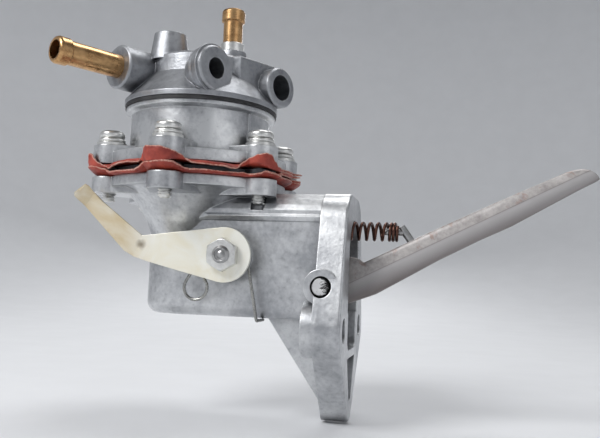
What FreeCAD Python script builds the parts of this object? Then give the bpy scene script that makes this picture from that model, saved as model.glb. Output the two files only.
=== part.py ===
import FreeCAD, Part
import math
import os

V = FreeCAD.Vector
os.makedirs("parts", exist_ok=True)

# The frame: mounting face on x = 0, bolt line on z = 0, rocker lever toward +x, hand lever toward -y.
PRESS = 0.0
RUN = 0.06
GAP = 0.3

# Diaphragm axis and the six flange screws.
AXIS_X = -60.5
CYLINDER_R = 26.2
FLAT_WASHER_D = 10.6
WASHER_ROOM = 1.1
BOLT_R = CYLINDER_R + FLAT_WASHER_D / 2 + WASHER_ROOM
SCREW_COUNT = 6
SCREW_PHASE = 30.0
SCREW_D = 5.0
SCREW_HEAD_D = 9.2
SCREW_HEAD_H = 3.0
SCREW_END_Z = 42.0
FLAT_WASHER_T = 1.3
SPRING_WASHER_D = 9.7
SPRING_WASHER_T = 1.7

# Stack of the diaphragm joint, from the lower flange up.
FLANGE_LIP = 0.4
FLANGE_R = BOLT_R + FLANGE_LIP
EAR_R = 6.3
EAR_FLARE = 4.6
EAR_TOTAL = 6.8
LOWER_EAR = 5.8
LOWER_PLATE_T = 3.4
UPPER_PLATE_T = 4.2
JOINT_Z = 50.6
SHEET_T = 1.6
SPACER_T = 1.6
SHEET_LIP = 2.0
SHEET_R = FLANGE_R + SHEET_LIP
SHEET_EAR_R = 7.6
LOWER_SHEET_TOP = JOINT_Z + SHEET_T
SPACER_TOP = LOWER_SHEET_TOP + SPACER_T
UPPER_Z = SPACER_TOP + SHEET_T
EAR_TOP = UPPER_Z + EAR_TOTAL
CLAMP_R = 21.0
PLATE_R = 18.4
PLATE_T = 1.2

# Upper body and head cover.
RIM_LIP = 1.9
BODY_RIM_R = CYLINDER_R + RIM_LIP
BODY_RIM_T = 1.6
SEAL_Z = 77.4
SEAL_T = 1.4
SEAL_LIP = 0.4
SEAL_R = BODY_RIM_R + SEAL_LIP
COVER_Z = SEAL_Z + SEAL_T
COVER_LIP = 0.7
COVER_RIM_R = BODY_RIM_R + COVER_LIP
COVER_RIM_T = 2.4
BLOCK_R = 20.8
BLOCK_Z = 89.4
BLOCK_H = 7.6
COVER_TOP = BLOCK_Z + BLOCK_H
CHAMBER_R = 22.0
CHAMBER_WALL = 3.0
POST_R = 6.4
WEB_Z = 63.6
WEB_H = 4.4
WEB_TOP = WEB_Z + WEB_H
VALVE_WALL_GAP = 1.4
VALVE_POST_GAP = 0.2
VALVE_R = (CHAMBER_R - VALVE_WALL_GAP - POST_R - VALVE_POST_GAP) / 2
VALVE_X = CHAMBER_R - VALVE_WALL_GAP - VALVE_R
SEAT_T = 1.6
DISC_T = 1.0
CAGE_H = 5.8
CAGE_ROOF = 0.9
INLET_SEAT_Z = WEB_TOP - SEAT_T
OUTLET_SEAT_Z = WEB_Z + SEAT_T

# Ports on the head cover.
PORT_TURN = 62.0
FRONT_PORT = (13.6, -25.0, 88.6)
FRONT_PORT_R = 8.0
FRONT_PORT_BORE = 7.5
FRONT_PORT_DEPTH = 9.0
SIDE_PORT = (31.2, -0.7, 87.8)
SIDE_PORT_R = 7.5
SIDE_PORT_BORE = 9.6
SIDE_PORT_DEPTH = 10.0
PORT_DRILL = 5.0
INLET_TURN = -31.0
INLET = (-25.4, -21.4, 91.0)
INLET_BOSS_R = 8.0
INLET_TUBE_D = 8.4
INLET_BEAD_D = 9.6
INLET_TUBE_LENGTH = 25.0
BEAD_L = 4.4
TUBE_WALL = 0.9
RETURN_AT = (12.4, -4.7)
RETURN_TUBE_D = 7.2
RETURN_BEAD_D = 8.7
RETURN_REACH = 19.6
RETURN_TOP = COVER_TOP + RETURN_REACH
COLLAR_D = 8.8
COLLAR_RISE = 3.1
COLLAR_Z = COVER_TOP + COLLAR_RISE
COLLAR_H = 3.6
FRUSTUM_AT = (-9.8, -10.9)
FRUSTUM_R = 7.4
FRUSTUM_TOP_R = 6.0
FRUSTUM_H = 8.5
FRUSTUM_TOP = COVER_TOP + FRUSTUM_H

# Lower body.
FACE_T = 9.5
EAR_Y = 20.0
EAR_PAD_R = 9.5
EAR_PAD_T = 3.8
MOUNT_HOLE_D = 8.5
FACE_SHOULDER = (7.0, 34.6, 12.5)
FACE_FOOT = (-26.5, 6.5)
TROUGH_HALF = 16.4
TROUGH_WALL = 3.4
TROUGH_BASE = 2.5
TROUGH_FLOOR = 5.5
ROOF_Z = 30.0
HOOD_HALF = 18.0
HOOD_EDGE_Z = 35.8
HOOD_TOP = 46.6
WINDOW_HALF = 12.0
WINDOW_TOP = 38.5
POCKET_FOOT = -7.5
POCKET_DEPTH = 6.5
BOWL_FLOOR = 37.5
WEB_T = 3.0

# Rocker lever, link lever and their pin.
PIVOT = (-7.5, 14.2)
PIN_D = 7.2
PIN_BOSS_R = 6.0
PIN_HALF = 25.0
BUSH_D = 9.6
HUB_R = 7.8
ROCKER_T = 9.0
NOSE_DROP = 1.4
TOUCH = 0.1
CHEEK_T = 2.4
LINK_T = 3.5
LINK_Z = 16.6
ROD_D = 6.0
ROD_HEAD_R = 5.6
ROD_HEAD_T = 2.6
SLOT_ROOM = 0.7
ROD_TOP = 61.4
PEG_D = 2.8
PEG_X = 18.0
PEG_FOOT_Z = 27.4
PEG_TOP_Z = 36.6
PEG_LEAN = 0.717
SPRING_Z = 34.7
ROCKER_SPRING_D = 7.2
ROCKER_WIRE = 1.3
SPRING_SEAT_X = -13.0

# Hand lever and its shaft.
HAND = (-41.4, 23.8)
SHAFT_D = 12.0
SHAFT_BOSS_R = 8.0
SHAFT_BOSS_Y = 20.4
LEVER_Y = 23.1
LEVER_T = 1.5
LEVER_END_R = 9.4
STUD_D = 6.0
NUT_AF = 10.0
NUT_T = 3.2
HAND_WIRE = 1.1
HAND_COIL_R = 7.1
HAND_EYE = (-51.7, 12.6)
HAND_EYE_R = 3.65
HAND_FOOT_X = -29.8
HAND_HOOK = 8.6


def cyl(r, z0, z1, x=AXIS_X, y=0.0):
    return Part.makeCylinder(r, z1 - z0, V(x, y, z0), V(0, 0, 1))


def cyl_y(r, y0, y1, x, z):
    return Part.makeCylinder(r, y1 - y0, V(x, y0, z), V(0, 1, 0))


def cyl_x(r, x0, x1, y, z):
    return Part.makeCylinder(r, x1 - x0, V(x0, y, z), V(1, 0, 0))


def box(x0, x1, y0, y1, z0, z1):
    return Part.makeBox(x1 - x0, y1 - y0, z1 - z0, V(x0, y0, z0))


def turn_z(shape, degrees, x=AXIS_X, y=0.0):
    done = shape.copy()
    done.rotate(V(x, y, 0), V(0, 0, 1), degrees)
    return done


def lathe(points, x=AXIS_X, y=0.0):
    wire = Part.makePolygon([V(x + r, y, z) for r, z in points + [points[0]]])
    return Part.Face(wire).revolve(V(x, y, 0), V(0, 0, 1), 360)


def prism(points, direction):
    return Part.Face(Part.makePolygon(points + [points[0]])).extrude(direction)


def side_prism(outline, y0, y1):
    return prism([V(x, y0, z) for x, z in outline], V(0, y1 - y0, 0))


def joined(first, *rest):
    return first.multiFuse(list(rest)).removeSplitter()


def softened(shape, radius, chosen):
    edges = [e for e in shape.Edges if chosen(e)]
    return shape.makeFillet(radius, edges) if edges else shape


def hull_face(circles, place):
    """circles run anticlockwise as (u, v, r); place turns (u, v) into a point."""
    normals = []
    for (u1, v1, r1), (u2, v2, r2) in zip(circles, circles[1:] + circles[:1]):
        du, dv = u2 - u1, v2 - v1
        length = math.hypot(du, dv)
        du, dv = du / length, dv / length
        c = (r1 - r2) / length
        s = math.sqrt(1 - c * c)
        normals.append((du * c + dv * s, dv * c - du * s))
    edges = []
    for i, (u, v, r) in enumerate(circles):
        a, b = normals[i - 1], normals[i]
        m = (a[0] + b[0], a[1] + b[1])
        size = math.hypot(*m)
        p = [place(u + r * n[0], v + r * n[1]) for n in (a, (m[0] / size, m[1] / size), b)]
        edges.append(Part.Arc(*p).toShape())
        u2, v2, r2 = circles[(i + 1) % len(circles)]
        edges.append(Part.makeLine(p[2], place(u2 + r2 * b[0], v2 + r2 * b[1])))
    return Part.Face(Part.Wire(edges))


def coil(radius, wire, pitch, turns, x, y, z, direction=V(0, 0, 1)):
    helix = Part.makeHelix(pitch, pitch * turns, radius)
    h = wire / 2
    corners = ((-h, -h), (h, -h), (h, h), (-h, h), (-h, -h))
    square = Part.makePolygon([V(radius + a, 0, b) for a, b in corners])
    body = Part.Wire(helix).makePipeShell([square], True, True)
    body.Placement = FreeCAD.Placement(V(x, y, z), FreeCAD.Rotation(V(0, 0, 1), direction))
    return body


def screw_places():
    for i in range(SCREW_COUNT):
        t = math.radians(SCREW_PHASE + i * 360 / SCREW_COUNT)
        yield AXIS_X + BOLT_R * math.cos(t), BOLT_R * math.sin(t)


def six(build):
    return Part.makeCompound([build(x, y) for x, y in screw_places()])


def lobes(r_plate, r_ear, z0, z1, bore):
    """A ring with six rounded ears and their screw holes."""
    parts = []
    for i in range(SCREW_COUNT):
        tongue = box(AXIS_X + r_plate - 8, AXIS_X + BOLT_R, -r_ear, r_ear, z0, z1)
        ear = tongue.fuse(cyl(r_ear, z0, z1, AXIS_X + BOLT_R))
        parts.append(turn_z(ear, SCREW_PHASE + i * 360 / SCREW_COUNT))
    ring = joined(cyl(r_plate, z0, z1), *parts)
    holes = [cyl(SCREW_D / 2 + GAP / 2, z0 - 1, z1 + 1, x, y) for x, y in screw_places()]
    return ring.cut(Part.makeCompound(holes + [cyl(bore, z0 - 1, z1 + 1)]))


def ear_block(z0, z1, inner, flare):
    parts = []
    root = EAR_R + flare
    for i in range(SCREW_COUNT):
        plan = ((BOLT_R, -EAR_R), (BOLT_R, EAR_R), (inner, root), (inner, -root))
        tongue = prism([V(AXIS_X + x, y, z0) for x, y in plan], V(0, 0, z1 - z0))
        block = tongue.fuse(cyl(EAR_R, z0, z1, AXIS_X + BOLT_R))
        parts.append(turn_z(block, SCREW_PHASE + i * 360 / SCREW_COUNT))
    return parts


def screw_holes(z0, z1, d):
    return Part.makeCompound([cyl(d / 2, z0, z1, x, y) for x, y in screw_places()])


def bowl_outer():
    profile = [(28.6, JOINT_Z - LOWER_PLATE_T), (21.9, 41.8), (18.7, 36.8), (TROUGH_HALF, 31.0)]
    curve = Part.BSplineCurve()
    curve.interpolate([V(AXIS_X + r, 0, z) for r, z in profile])
    top, foot = profile[0], profile[-1]
    run = [(foot[0], 20.0), (0.0, 20.0), (0.0, JOINT_Z), (FLANGE_R, JOINT_Z)]
    run += [(FLANGE_R, JOINT_Z - LOWER_PLATE_T), top]
    points = [V(AXIS_X + r, 0, z) for r, z in [foot] + run]
    edges = [curve.toShape()] + [Part.makeLine(a, b) for a, b in zip(points, points[1:])]
    return Part.Face(Part.Wire(Part.__sortEdges__(edges))).revolve(V(AXIS_X, 0, 0), V(0, 0, 1), 360)


def trough_outer():
    block = box(AXIS_X, -1.0, -TROUGH_HALF, TROUGH_HALF, TROUGH_BASE, 37.0)
    shell = joined(block, cyl(TROUGH_HALF, TROUGH_BASE, 37.0))
    low = TROUGH_BASE + 0.01
    return softened(shell, 4.2, lambda e: e.BoundBox.ZMax < low and e.BoundBox.YLength + e.BoundBox.XLength > 20)


def hood_outer():
    half = [(HOOD_HALF - 3.0, HOOD_EDGE_Z - 0.4), (HOOD_HALF - 0.9, HOOD_EDGE_Z + 0.7),
            (HOOD_HALF, HOOD_EDGE_Z + 2.2)]
    half += [(HOOD_HALF - 0.5, HOOD_EDGE_Z + 3.0), (HOOD_HALF - 0.5, HOOD_EDGE_Z + 4.6)]
    half += [(HOOD_HALF - 1.6, 42.4), (HOOD_HALF - 3.6, 44.6), (HOOD_HALF - 7.8, HOOD_TOP)]
    outline = half + [(-y, z) for y, z in reversed(half)]
    bar = prism([V(-57.0, y, z) for y, z in outline], V(57.0 - FACE_T + 1, 0, 0))
    plan = [(-57, 15.5), (-55, 17), (-44, HOOD_HALF + 1), (0, HOOD_HALF + 1)]
    plan += [(x, -y) for x, y in reversed(plan)]
    return bar.common(prism([V(x, y, 30) for x, y in plan], V(0, 0, 20)))


def mounting_flange():
    side, high, round_r = FACE_SHOULDER
    circles = [(0, FACE_FOOT[0], FACE_FOOT[1]), (EAR_Y, 0, EAR_PAD_R), (side, high, round_r)]
    circles += [(-side, high, round_r), (-EAR_Y, 0, EAR_PAD_R)]
    plate = hull_face(circles, lambda y, z: V(-FACE_T, y, z)).extrude(V(FACE_T, 0, 0))
    plate = softened(plate, 0.8, lambda e: e.BoundBox.XMin > -0.01)
    pads = [cyl_x(EAR_PAD_R, -FACE_T - EAR_PAD_T, -1, s * EAR_Y, 0) for s in (-1, 1)]
    return joined(plate, *pads)


def underside_web():
    outline = [(-31.5, TROUGH_BASE + 1), (-FACE_T + 1, TROUGH_BASE + 1), (-FACE_T + 1, -28.0),
               (-FACE_T, -28.0)]
    return side_prism(outline, -WEB_T / 2, WEB_T / 2)


def inner_room():
    half = TROUGH_HALF - TROUGH_WALL
    room = box(AXIS_X, -FACE_T, -half, half, TROUGH_FLOOR, ROOF_Z)
    room = joined(room, cyl(half, TROUGH_FLOOR, ROOF_Z))
    low = TROUGH_FLOOR + 0.01
    room = softened(room, 3.0, lambda e: e.BoundBox.ZMax < low and e.BoundBox.YLength + e.BoundBox.XLength > 20)
    arch_z = WINDOW_TOP - WINDOW_HALF
    sill = box(SPRING_SEAT_X, 1, -WINDOW_HALF, WINDOW_HALF, TROUGH_FLOOR, arch_z)
    arch = cyl_x(WINDOW_HALF, SPRING_SEAT_X, 1, 0, arch_z)
    pocket = box(-POCKET_DEPTH, 1, -10.5, 10.5, POCKET_FOOT, TROUGH_FLOOR + 2)
    pocket = softened(pocket, 4.0, lambda e: e.BoundBox.XLength > 5 and e.BoundBox.ZMax < POCKET_FOOT + 0.01)
    slope = prism([V(-FACE_T - 6, -10.5, TROUGH_FLOOR + 1), V(-POCKET_DEPTH, -10.5, TROUGH_FLOOR + 1),
                   V(-POCKET_DEPTH, -10.5, TROUGH_FLOOR - 4)], V(0, 21.0, 0))
    shallow = prism([V(-2.2, -10, -10.2), V(-2.2, 10, -10.2), V(-2.2, 2.2, -25.5), V(-2.2, -2.2, -25.5)],
                    V(3, 0, 0))
    return joined(room, sill, arch, pocket, slope, shallow)


def lower_body():
    ears = ear_block(JOINT_Z - LOWER_EAR, JOINT_Z, 20.0, EAR_FLARE)
    outer = joined(bowl_outer(), trough_outer(), hood_outer(), mounting_flange(), underside_web(), *ears)
    bowl = lathe([(0, BOWL_FLOOR), (14.0, BOWL_FLOOR), (20.0, 44.0), (CLAMP_R, 45.2), (CLAMP_R, 60), (0, 60)])
    body = outer.cut(bowl).cut(inner_room())
    px, pz = PIVOT
    hx, hz = HAND
    inside = [cyl(7.5, 25.5, ROOF_Z + 1)]
    for s in (-1, 1):
        y0, y1 = sorted((s * (ROCKER_T / 2 + GAP + CHEEK_T + GAP), s * PIN_HALF))
        inside.append(cyl_y(PIN_BOSS_R, y0, y1, px, pz))
    inside.append(cyl_y(SHAFT_BOSS_R, -SHAFT_BOSS_Y, -8.4, hx, hz))
    inside.append(cyl_y(5.0, 9.0, TROUGH_HALF - 1, hx, hz))
    body = joined(body, *inside)
    cuts = [cyl(ROD_D / 2 + RUN, 20, 45), cyl(6.5, BOWL_FLOOR - 3.2, BOWL_FLOOR + 1)]
    cuts += [cyl_y(PIN_D / 2 + PRESS, -30, 30, px, pz)]
    cuts += [cyl_y(SHAFT_D / 2 + RUN, -30, -8, hx, hz), cyl_y(3.0 + RUN, 8, 15.0, hx, hz)]
    cuts += [cyl_x(MOUNT_HOLE_D / 2, -20, 1, s * EAR_Y, 0) for s in (-1, 1)]
    cuts += [screw_holes(SCREW_END_Z - 2, JOINT_Z + 1, SCREW_D + 2 * RUN)]
    cuts += [lathe([(22.6, JOINT_Z - 0.5), (23.4, JOINT_Z - 0.5), (23.4, JOINT_Z + 1), (22.6, JOINT_Z + 1)])]
    return body.cut(Part.makeCompound(cuts))


def upper_body():
    rim_z = SEAL_Z - BODY_RIM_T
    outline = [(0, UPPER_Z), (FLANGE_R, UPPER_Z), (FLANGE_R, UPPER_Z + UPPER_PLATE_T),
               (CYLINDER_R + 1.2, UPPER_Z + UPPER_PLATE_T)]
    outline += [(CYLINDER_R, UPPER_Z + UPPER_PLATE_T + 1.2), (CYLINDER_R - 0.3, 75.0),
                (CYLINDER_R + 0.5, 75.5)]
    outline += [(BODY_RIM_R - 0.5, rim_z - 0.1), (BODY_RIM_R, rim_z + 0.3), (BODY_RIM_R, SEAL_Z), (0, SEAL_Z)]
    ears = ear_block(UPPER_Z, EAR_TOP, 22.0, EAR_FLARE / 2)
    seam = box(AXIS_X - 0.6, AXIS_X + 0.6, -CYLINDER_R - 0.35, 0, 61.0, 75.0)
    body = joined(lathe(outline), turn_z(seam, 60), turn_z(seam, 240), *ears)
    pump = lathe([(0, UPPER_Z - 1), (CLAMP_R, UPPER_Z - 1), (CLAMP_R, 61.2), (19.5, WEB_Z), (0, WEB_Z)])
    rooms = cyl(CHAMBER_R, WEB_TOP, SEAL_Z + 1)
    keep = box(AXIS_X - CHAMBER_WALL / 2, AXIS_X + CHAMBER_WALL / 2, -30, 30, WEB_Z, SEAL_Z)
    rooms = rooms.cut(joined(keep, cyl(POST_R, WEB_Z, SEAL_Z)))
    bores = [cyl(VALVE_R + PRESS, WEB_Z - 4, WEB_TOP + 1, AXIS_X + s * VALVE_X) for s in (-1, 1)]
    bores.append(cyl(3.0 + RUN, WEB_TOP - 2, SEAL_Z + 1))
    holes = screw_holes(UPPER_Z - 1, EAR_TOP + 1, SCREW_D + GAP)
    return body.cut(pump).cut(Part.makeCompound([rooms, holes])).cut(Part.makeCompound(bores))


def cover_seal():
    ring = cyl(SEAL_R, SEAL_Z, COVER_Z)
    rooms = cyl(CHAMBER_R, SEAL_Z - 1, COVER_Z + 1)
    half = CHAMBER_WALL / 2
    bar = joined(box(AXIS_X - half, AXIS_X + half, -30, 30, SEAL_Z, COVER_Z), cyl(POST_R, SEAL_Z, COVER_Z))
    return ring.cut(rooms.cut(bar)).cut(cyl(3.2, SEAL_Z - 1, COVER_Z + 1))


def boss(face, turn, r, length, tip=0.6):
    """A port boss whose face is centred at an offset from the axis; it runs back into the cover."""
    t = math.radians(turn)
    x, y, z = AXIS_X + face[0], face[1], face[2]
    back = V(-math.sin(t), math.cos(t), 0)
    body = Part.makeCylinder(r, length - tip, V(x, y, z) + back * tip, back)
    nose = Part.makeCone(r - tip, r, tip, V(x, y, z), back)
    return body.fuse(nose)


def bore(face, turn, r, depth, start=-1.0):
    t = math.radians(turn)
    back = V(-math.sin(t), math.cos(t), 0)
    return Part.makeCylinder(r, depth - start, V(AXIS_X + face[0], face[1], face[2]) + back * start, back)


def disc_ring(face, turn, r, back):
    """A circle behind a port face, for lofting the boss into the block."""
    t = math.radians(turn)
    way = V(-math.sin(t), math.cos(t), 0)
    return Part.Wire(Part.makeCircle(r, V(AXIS_X + face[0], face[1], face[2]) + way * back, way))


def port_root():
    near = disc_ring(FRONT_PORT, PORT_TURN, FRONT_PORT_R + 0.8, 1.5)
    middle = disc_ring(FRONT_PORT, PORT_TURN - 14, FRONT_PORT_R + 0.2, 7.0)
    far = disc_ring(FRONT_PORT, PORT_TURN - 24, 4.2, 17.5)
    return Part.makeLoft([near, middle, far], True, False)


def head_cover():
    rim_top = COVER_Z + COVER_RIM_T
    outline = [(0, COVER_Z), (COVER_RIM_R, COVER_Z), (COVER_RIM_R, rim_top - 0.6),
               (COVER_RIM_R - 0.6, rim_top)]
    outline += [(BLOCK_R + 0.8, BLOCK_Z - 0.4), (BLOCK_R, BLOCK_Z + 0.6), (BLOCK_R - 0.4, COVER_TOP - 1),
                (BLOCK_R - 1.4, COVER_TOP), (0, COVER_TOP)]
    tower = lathe(outline)
    plan = ((5, -14), (18.4, -12.6), (27.6, 1.8), (22, 10), (5, 16))
    wing = prism([V(AXIS_X + x, y, 82.0) for x, y in plan], V(0, 0, COVER_TOP - 82.0))
    wing = softened(wing, 1.2, lambda e: e.BoundBox.ZMin > COVER_TOP - 0.01)
    fx, fy = FRUSTUM_AT
    rx, ry = RETURN_AT
    parts = [wing]
    parts.append(Part.makeCone(FRUSTUM_R, FRUSTUM_TOP_R, FRUSTUM_TOP - COVER_TOP + 2,
                               V(AXIS_X + fx, fy, COVER_TOP - 2), V(0, 0, 1)))
    parts.append(Part.makeCone(6.2, 5.4, COLLAR_Z - COVER_TOP + 2, V(AXIS_X + rx, ry, COVER_TOP - 2),
                               V(0, 0, 1)))
    parts.append(boss(FRONT_PORT, PORT_TURN, FRONT_PORT_R, 6.0))
    parts.append(port_root())
    parts.append(boss(SIDE_PORT, PORT_TURN, SIDE_PORT_R, 16.0))
    parts.append(boss(INLET, INLET_TURN, INLET_BOSS_R, 20.0))
    solid = joined(tower, *parts).cut(box(-200, 100, -100, 100, 60, COVER_Z))
    rooms = lathe([(0, COVER_Z - 1), (CHAMBER_R, COVER_Z - 1), (CHAMBER_R, COVER_Z + 0.6), (16.6, 88.6),
                   (16.2, 92.8), (0, 92.8)])
    half = CHAMBER_WALL / 2
    keep = joined(box(AXIS_X - half, AXIS_X + half, -30, 30, 70, 99), cyl(POST_R, 70, 99))
    cuts = [rooms.cut(keep), cyl(3.2, SEAL_Z, COVER_TOP + 2)]
    cuts.append(bore(FRONT_PORT, PORT_TURN, FRONT_PORT_BORE / 2, FRONT_PORT_DEPTH))
    cuts.append(bore(FRONT_PORT, PORT_TURN, PORT_DRILL / 2, FRONT_PORT_DEPTH + 9.0))
    cuts.append(bore(SIDE_PORT, PORT_TURN, SIDE_PORT_BORE / 2, SIDE_PORT_DEPTH))
    cuts.append(bore(SIDE_PORT, PORT_TURN, PORT_DRILL / 2, SIDE_PORT_DEPTH + 6.0))
    cuts.append(bore(INLET, INLET_TURN, INLET_TUBE_D / 2 + PRESS, 10.0))
    cuts.append(bore(INLET, INLET_TURN, INLET_TUBE_D / 2 - TUBE_WALL, 19.0))
    cuts.append(cyl(RETURN_TUBE_D / 2 + PRESS, COVER_TOP - 1.5, COLLAR_Z + 5, AXIS_X + rx, ry))
    cuts.append(cyl(RETURN_TUBE_D / 2 - TUBE_WALL, COVER_TOP - 6, COLLAR_Z + 5, AXIS_X + rx, ry))
    cuts.append(cyl(4.2, FRUSTUM_TOP - 1.2, FRUSTUM_TOP + 1, AXIS_X + fx, fy))
    return solid.cut(Part.makeCompound(cuts[:1])).cut(joined(cuts[1], *cuts[2:]))


def tube(length, d, bead_d, inner_d):
    """A hose tube along +z from 0, with its bead near the open end."""
    r, b = d / 2, bead_d / 2
    outline = [(inner_d / 2, 0), (r, 0), (r, length - BEAD_L - 0.5), (b, length - BEAD_L),
               (b, length - 1.0), (b - 0.35, length - 0.3)]
    outline += [(b - 0.9, length), (inner_d / 2, length)]
    return lathe(outline, 0, 0)


def inlet_tube():
    inside = 9.0
    body = tube(INLET_TUBE_LENGTH + inside, INLET_TUBE_D, INLET_BEAD_D, INLET_TUBE_D - 2 * TUBE_WALL)
    t = math.radians(INLET_TURN)
    out = V(math.sin(t), -math.cos(t), 0)
    start = V(AXIS_X + INLET[0], INLET[1], INLET[2]) - out * inside
    body.Placement = FreeCAD.Placement(start, FreeCAD.Rotation(V(0, 0, 1), out))
    return body


def return_tube():
    start = COVER_TOP - 1.0
    body = tube(RETURN_TOP - start, RETURN_TUBE_D, RETURN_BEAD_D, RETURN_TUBE_D - 2 * TUBE_WALL)
    body.translate(V(AXIS_X + RETURN_AT[0], RETURN_AT[1], start))
    return body


def return_collar():
    r, h = COLLAR_D / 2, COLLAR_H
    outline = [(RETURN_TUBE_D / 2, COLLAR_Z), (r, COLLAR_Z), (r, COLLAR_Z + h - 0.5),
               (r - 0.5, COLLAR_Z + h), (RETURN_TUBE_D / 2, COLLAR_Z + h)]
    return lathe(outline, AXIS_X + RETURN_AT[0], RETURN_AT[1])


def flange_screw(x, y):
    seat = EAR_TOP + FLAT_WASHER_T + SPRING_WASHER_T
    r, h = SCREW_HEAD_D / 2, SCREW_HEAD_H
    outline = [(0, SCREW_END_Z), (SCREW_D / 2 - 0.6, SCREW_END_Z), (SCREW_D / 2, SCREW_END_Z + 0.8),
               (SCREW_D / 2, seat), (r - 0.3, seat)]
    outline += [(r, seat + 0.5), (r, seat + h * 0.55), (r - 0.9, seat + h * 0.85), (r - 2.2, seat + h),
                (0, seat + h)]
    slot = box(x - 0.6, x + 0.6, y - 6, y + 6, seat + h - 1.1, seat + h + 1)
    return lathe(outline, x, y).cut(slot)


def spring_washer(x, y):
    z = EAR_TOP + FLAT_WASHER_T
    ring = cyl(SPRING_WASHER_D / 2, z, z + SPRING_WASHER_T, x, y)
    ring = ring.cut(cyl(SCREW_D / 2 + 0.1, z - 1, z + 4, x, y))
    return ring.cut(box(x + 1, x + 9, y - 0.35, y + 0.35, z - 1, z + 4))


def flat_washer(x, y):
    ring = cyl(FLAT_WASHER_D / 2, EAR_TOP, EAR_TOP + FLAT_WASHER_T, x, y)
    return ring.cut(cyl(SCREW_D / 2 + 0.1, EAR_TOP - 1, EAR_TOP + 4, x, y))


def petal(index, outline, z0):
    """A turned-up rim of sheet that stands close around one ear."""
    x, y = list(screw_places())[index]
    wall = cyl(SHEET_EAR_R, z0, z0 + 8, x, y).cut(cyl(SHEET_EAR_R - 1.0, z0 - 1, z0 + 9, x, y))
    return wall.common(side_prism([(x + u, v) for u, v in outline], y - 12, y + 1.0))


def fuel_sheet():
    z = SPACER_TOP
    flat = lobes(SHEET_R, SHEET_EAR_R, z, UPPER_Z, ROD_D / 2 + GAP)
    left = petal(3, [(-9, z), (-3, z), (-3, z + 1.6), (-7.2, z + 4.0), (-9, z + 4.0)], z)
    front = petal(4, [(-9, z), (6, z), (5.4, z + 2.0), (2.0, z + 4.6), (-6.0, z + 5.8), (-9, z + 5.8)], z)
    right = petal(5, [(-7, z), (9, z), (9, z + 3.0), (6.4, z + 5.4), (3.0, z + 5.6), (-6.2, z + 1.8)], z)
    plate = cyl(FLANGE_R, UPPER_Z, UPPER_Z + 10)
    return joined(flat, *[flap.cut(plate) for flap in (left, front, right)])


def oil_sheet():
    return lobes(SHEET_R - 0.6, SHEET_EAR_R - 0.3, JOINT_Z, LOWER_SHEET_TOP, ROD_D / 2 + GAP)


def spacer_ring():
    return lobes(FLANGE_R - 1.6, EAR_R - 0.6, LOWER_SHEET_TOP, SPACER_TOP, CLAMP_R)


def inner_spacer():
    return lathe([(ROD_D / 2, LOWER_SHEET_TOP), (PLATE_R - 2, LOWER_SHEET_TOP), (PLATE_R - 2, SPACER_TOP),
                  (ROD_D / 2, SPACER_TOP)])


def upper_plate():
    z, r = UPPER_Z, PLATE_R
    outline = [(ROD_D / 2, z), (r - 0.8, z), (r, z + 0.8), (r, z + 1.6), (r - 0.9, z + 1.6),
               (r - 1.6, z + PLATE_T), (ROD_D / 2, z + PLATE_T)]
    return lathe(outline)


def lower_plate():
    z, r = JOINT_Z, PLATE_R
    outline = [(ROD_D / 2, z), (r - 0.8, z), (r, z - 0.8), (r, z - 1.6), (r - 0.9, z - 1.6),
               (r - 1.6, z - PLATE_T), (ROD_D / 2, z - PLATE_T)]
    return lathe(outline)


def rod_nut():
    z = UPPER_Z + PLATE_T
    return hex_prism(NUT_AF, 4.0, V(AXIS_X, 0, z), V(0, 0, 1)).cut(cyl(ROD_D / 2, z - 1, z + 6))


def hex_prism(flats, height, at, direction):
    r = flats / math.sqrt(3)
    corners = [V(r * math.cos(math.radians(60 * i)), r * math.sin(math.radians(60 * i)), 0) for i in range(6)]
    body = prism(corners, V(0, 0, height))
    cone = lathe([(0, 0), (r - 0.5, 0), (r, 0.4), (r, height - 0.5), (r - 0.7, height), (0, height)], 0, 0)
    body = body.common(cone)
    body.Placement = FreeCAD.Placement(at, FreeCAD.Rotation(V(0, 0, 1), direction))
    return body


def pull_rod():
    r = ROD_D / 2
    shoulder = JOINT_Z - PLATE_T
    head = LINK_Z - 0.15
    top = [(ROD_HEAD_R, head - 0.8), (4.6, head - 0.32), (3.9, head - 0.15), (r, head)]
    outline = [(0, head - ROD_HEAD_T), (ROD_HEAD_R - 0.4, head - ROD_HEAD_T),
               (ROD_HEAD_R, head - ROD_HEAD_T + 0.4)] + top
    outline += [(r, shoulder - 2.0), (5.0, shoulder - 2.0), (5.0, shoulder), (r, shoulder),
                (r, ROD_TOP - 0.6), (r - 0.6, ROD_TOP), (0, ROD_TOP)]
    return lathe(outline)


def rod_seal():
    z = BOWL_FLOOR - 3.2
    outline = [(ROD_D / 2 + RUN, z + 0.4), (4.2, z), (6.5, z), (6.5, z + 2.4), (4.6, z + 2.4),
               (ROD_D / 2 + RUN, z + 1.6)]
    return lathe(outline)


def seal_cup():
    z = BOWL_FLOOR - 0.8
    outline = [(4.4, z), (6.5, z), (6.5, BOWL_FLOOR), (8.6, BOWL_FLOOR), (8.6, BOWL_FLOOR + 0.8),
               (4.4, BOWL_FLOOR + 0.8)]
    return lathe(outline)


def diaphragm_spring():
    low, high, wire = BOWL_FLOOR, JOINT_Z - PLATE_T, 1.7
    turns = 4.0
    pitch = (high - low - wire - 0.1) / turns
    return coil(11.6, wire, pitch, turns, AXIS_X, 0, low + wire / 2 + 0.05)


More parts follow.
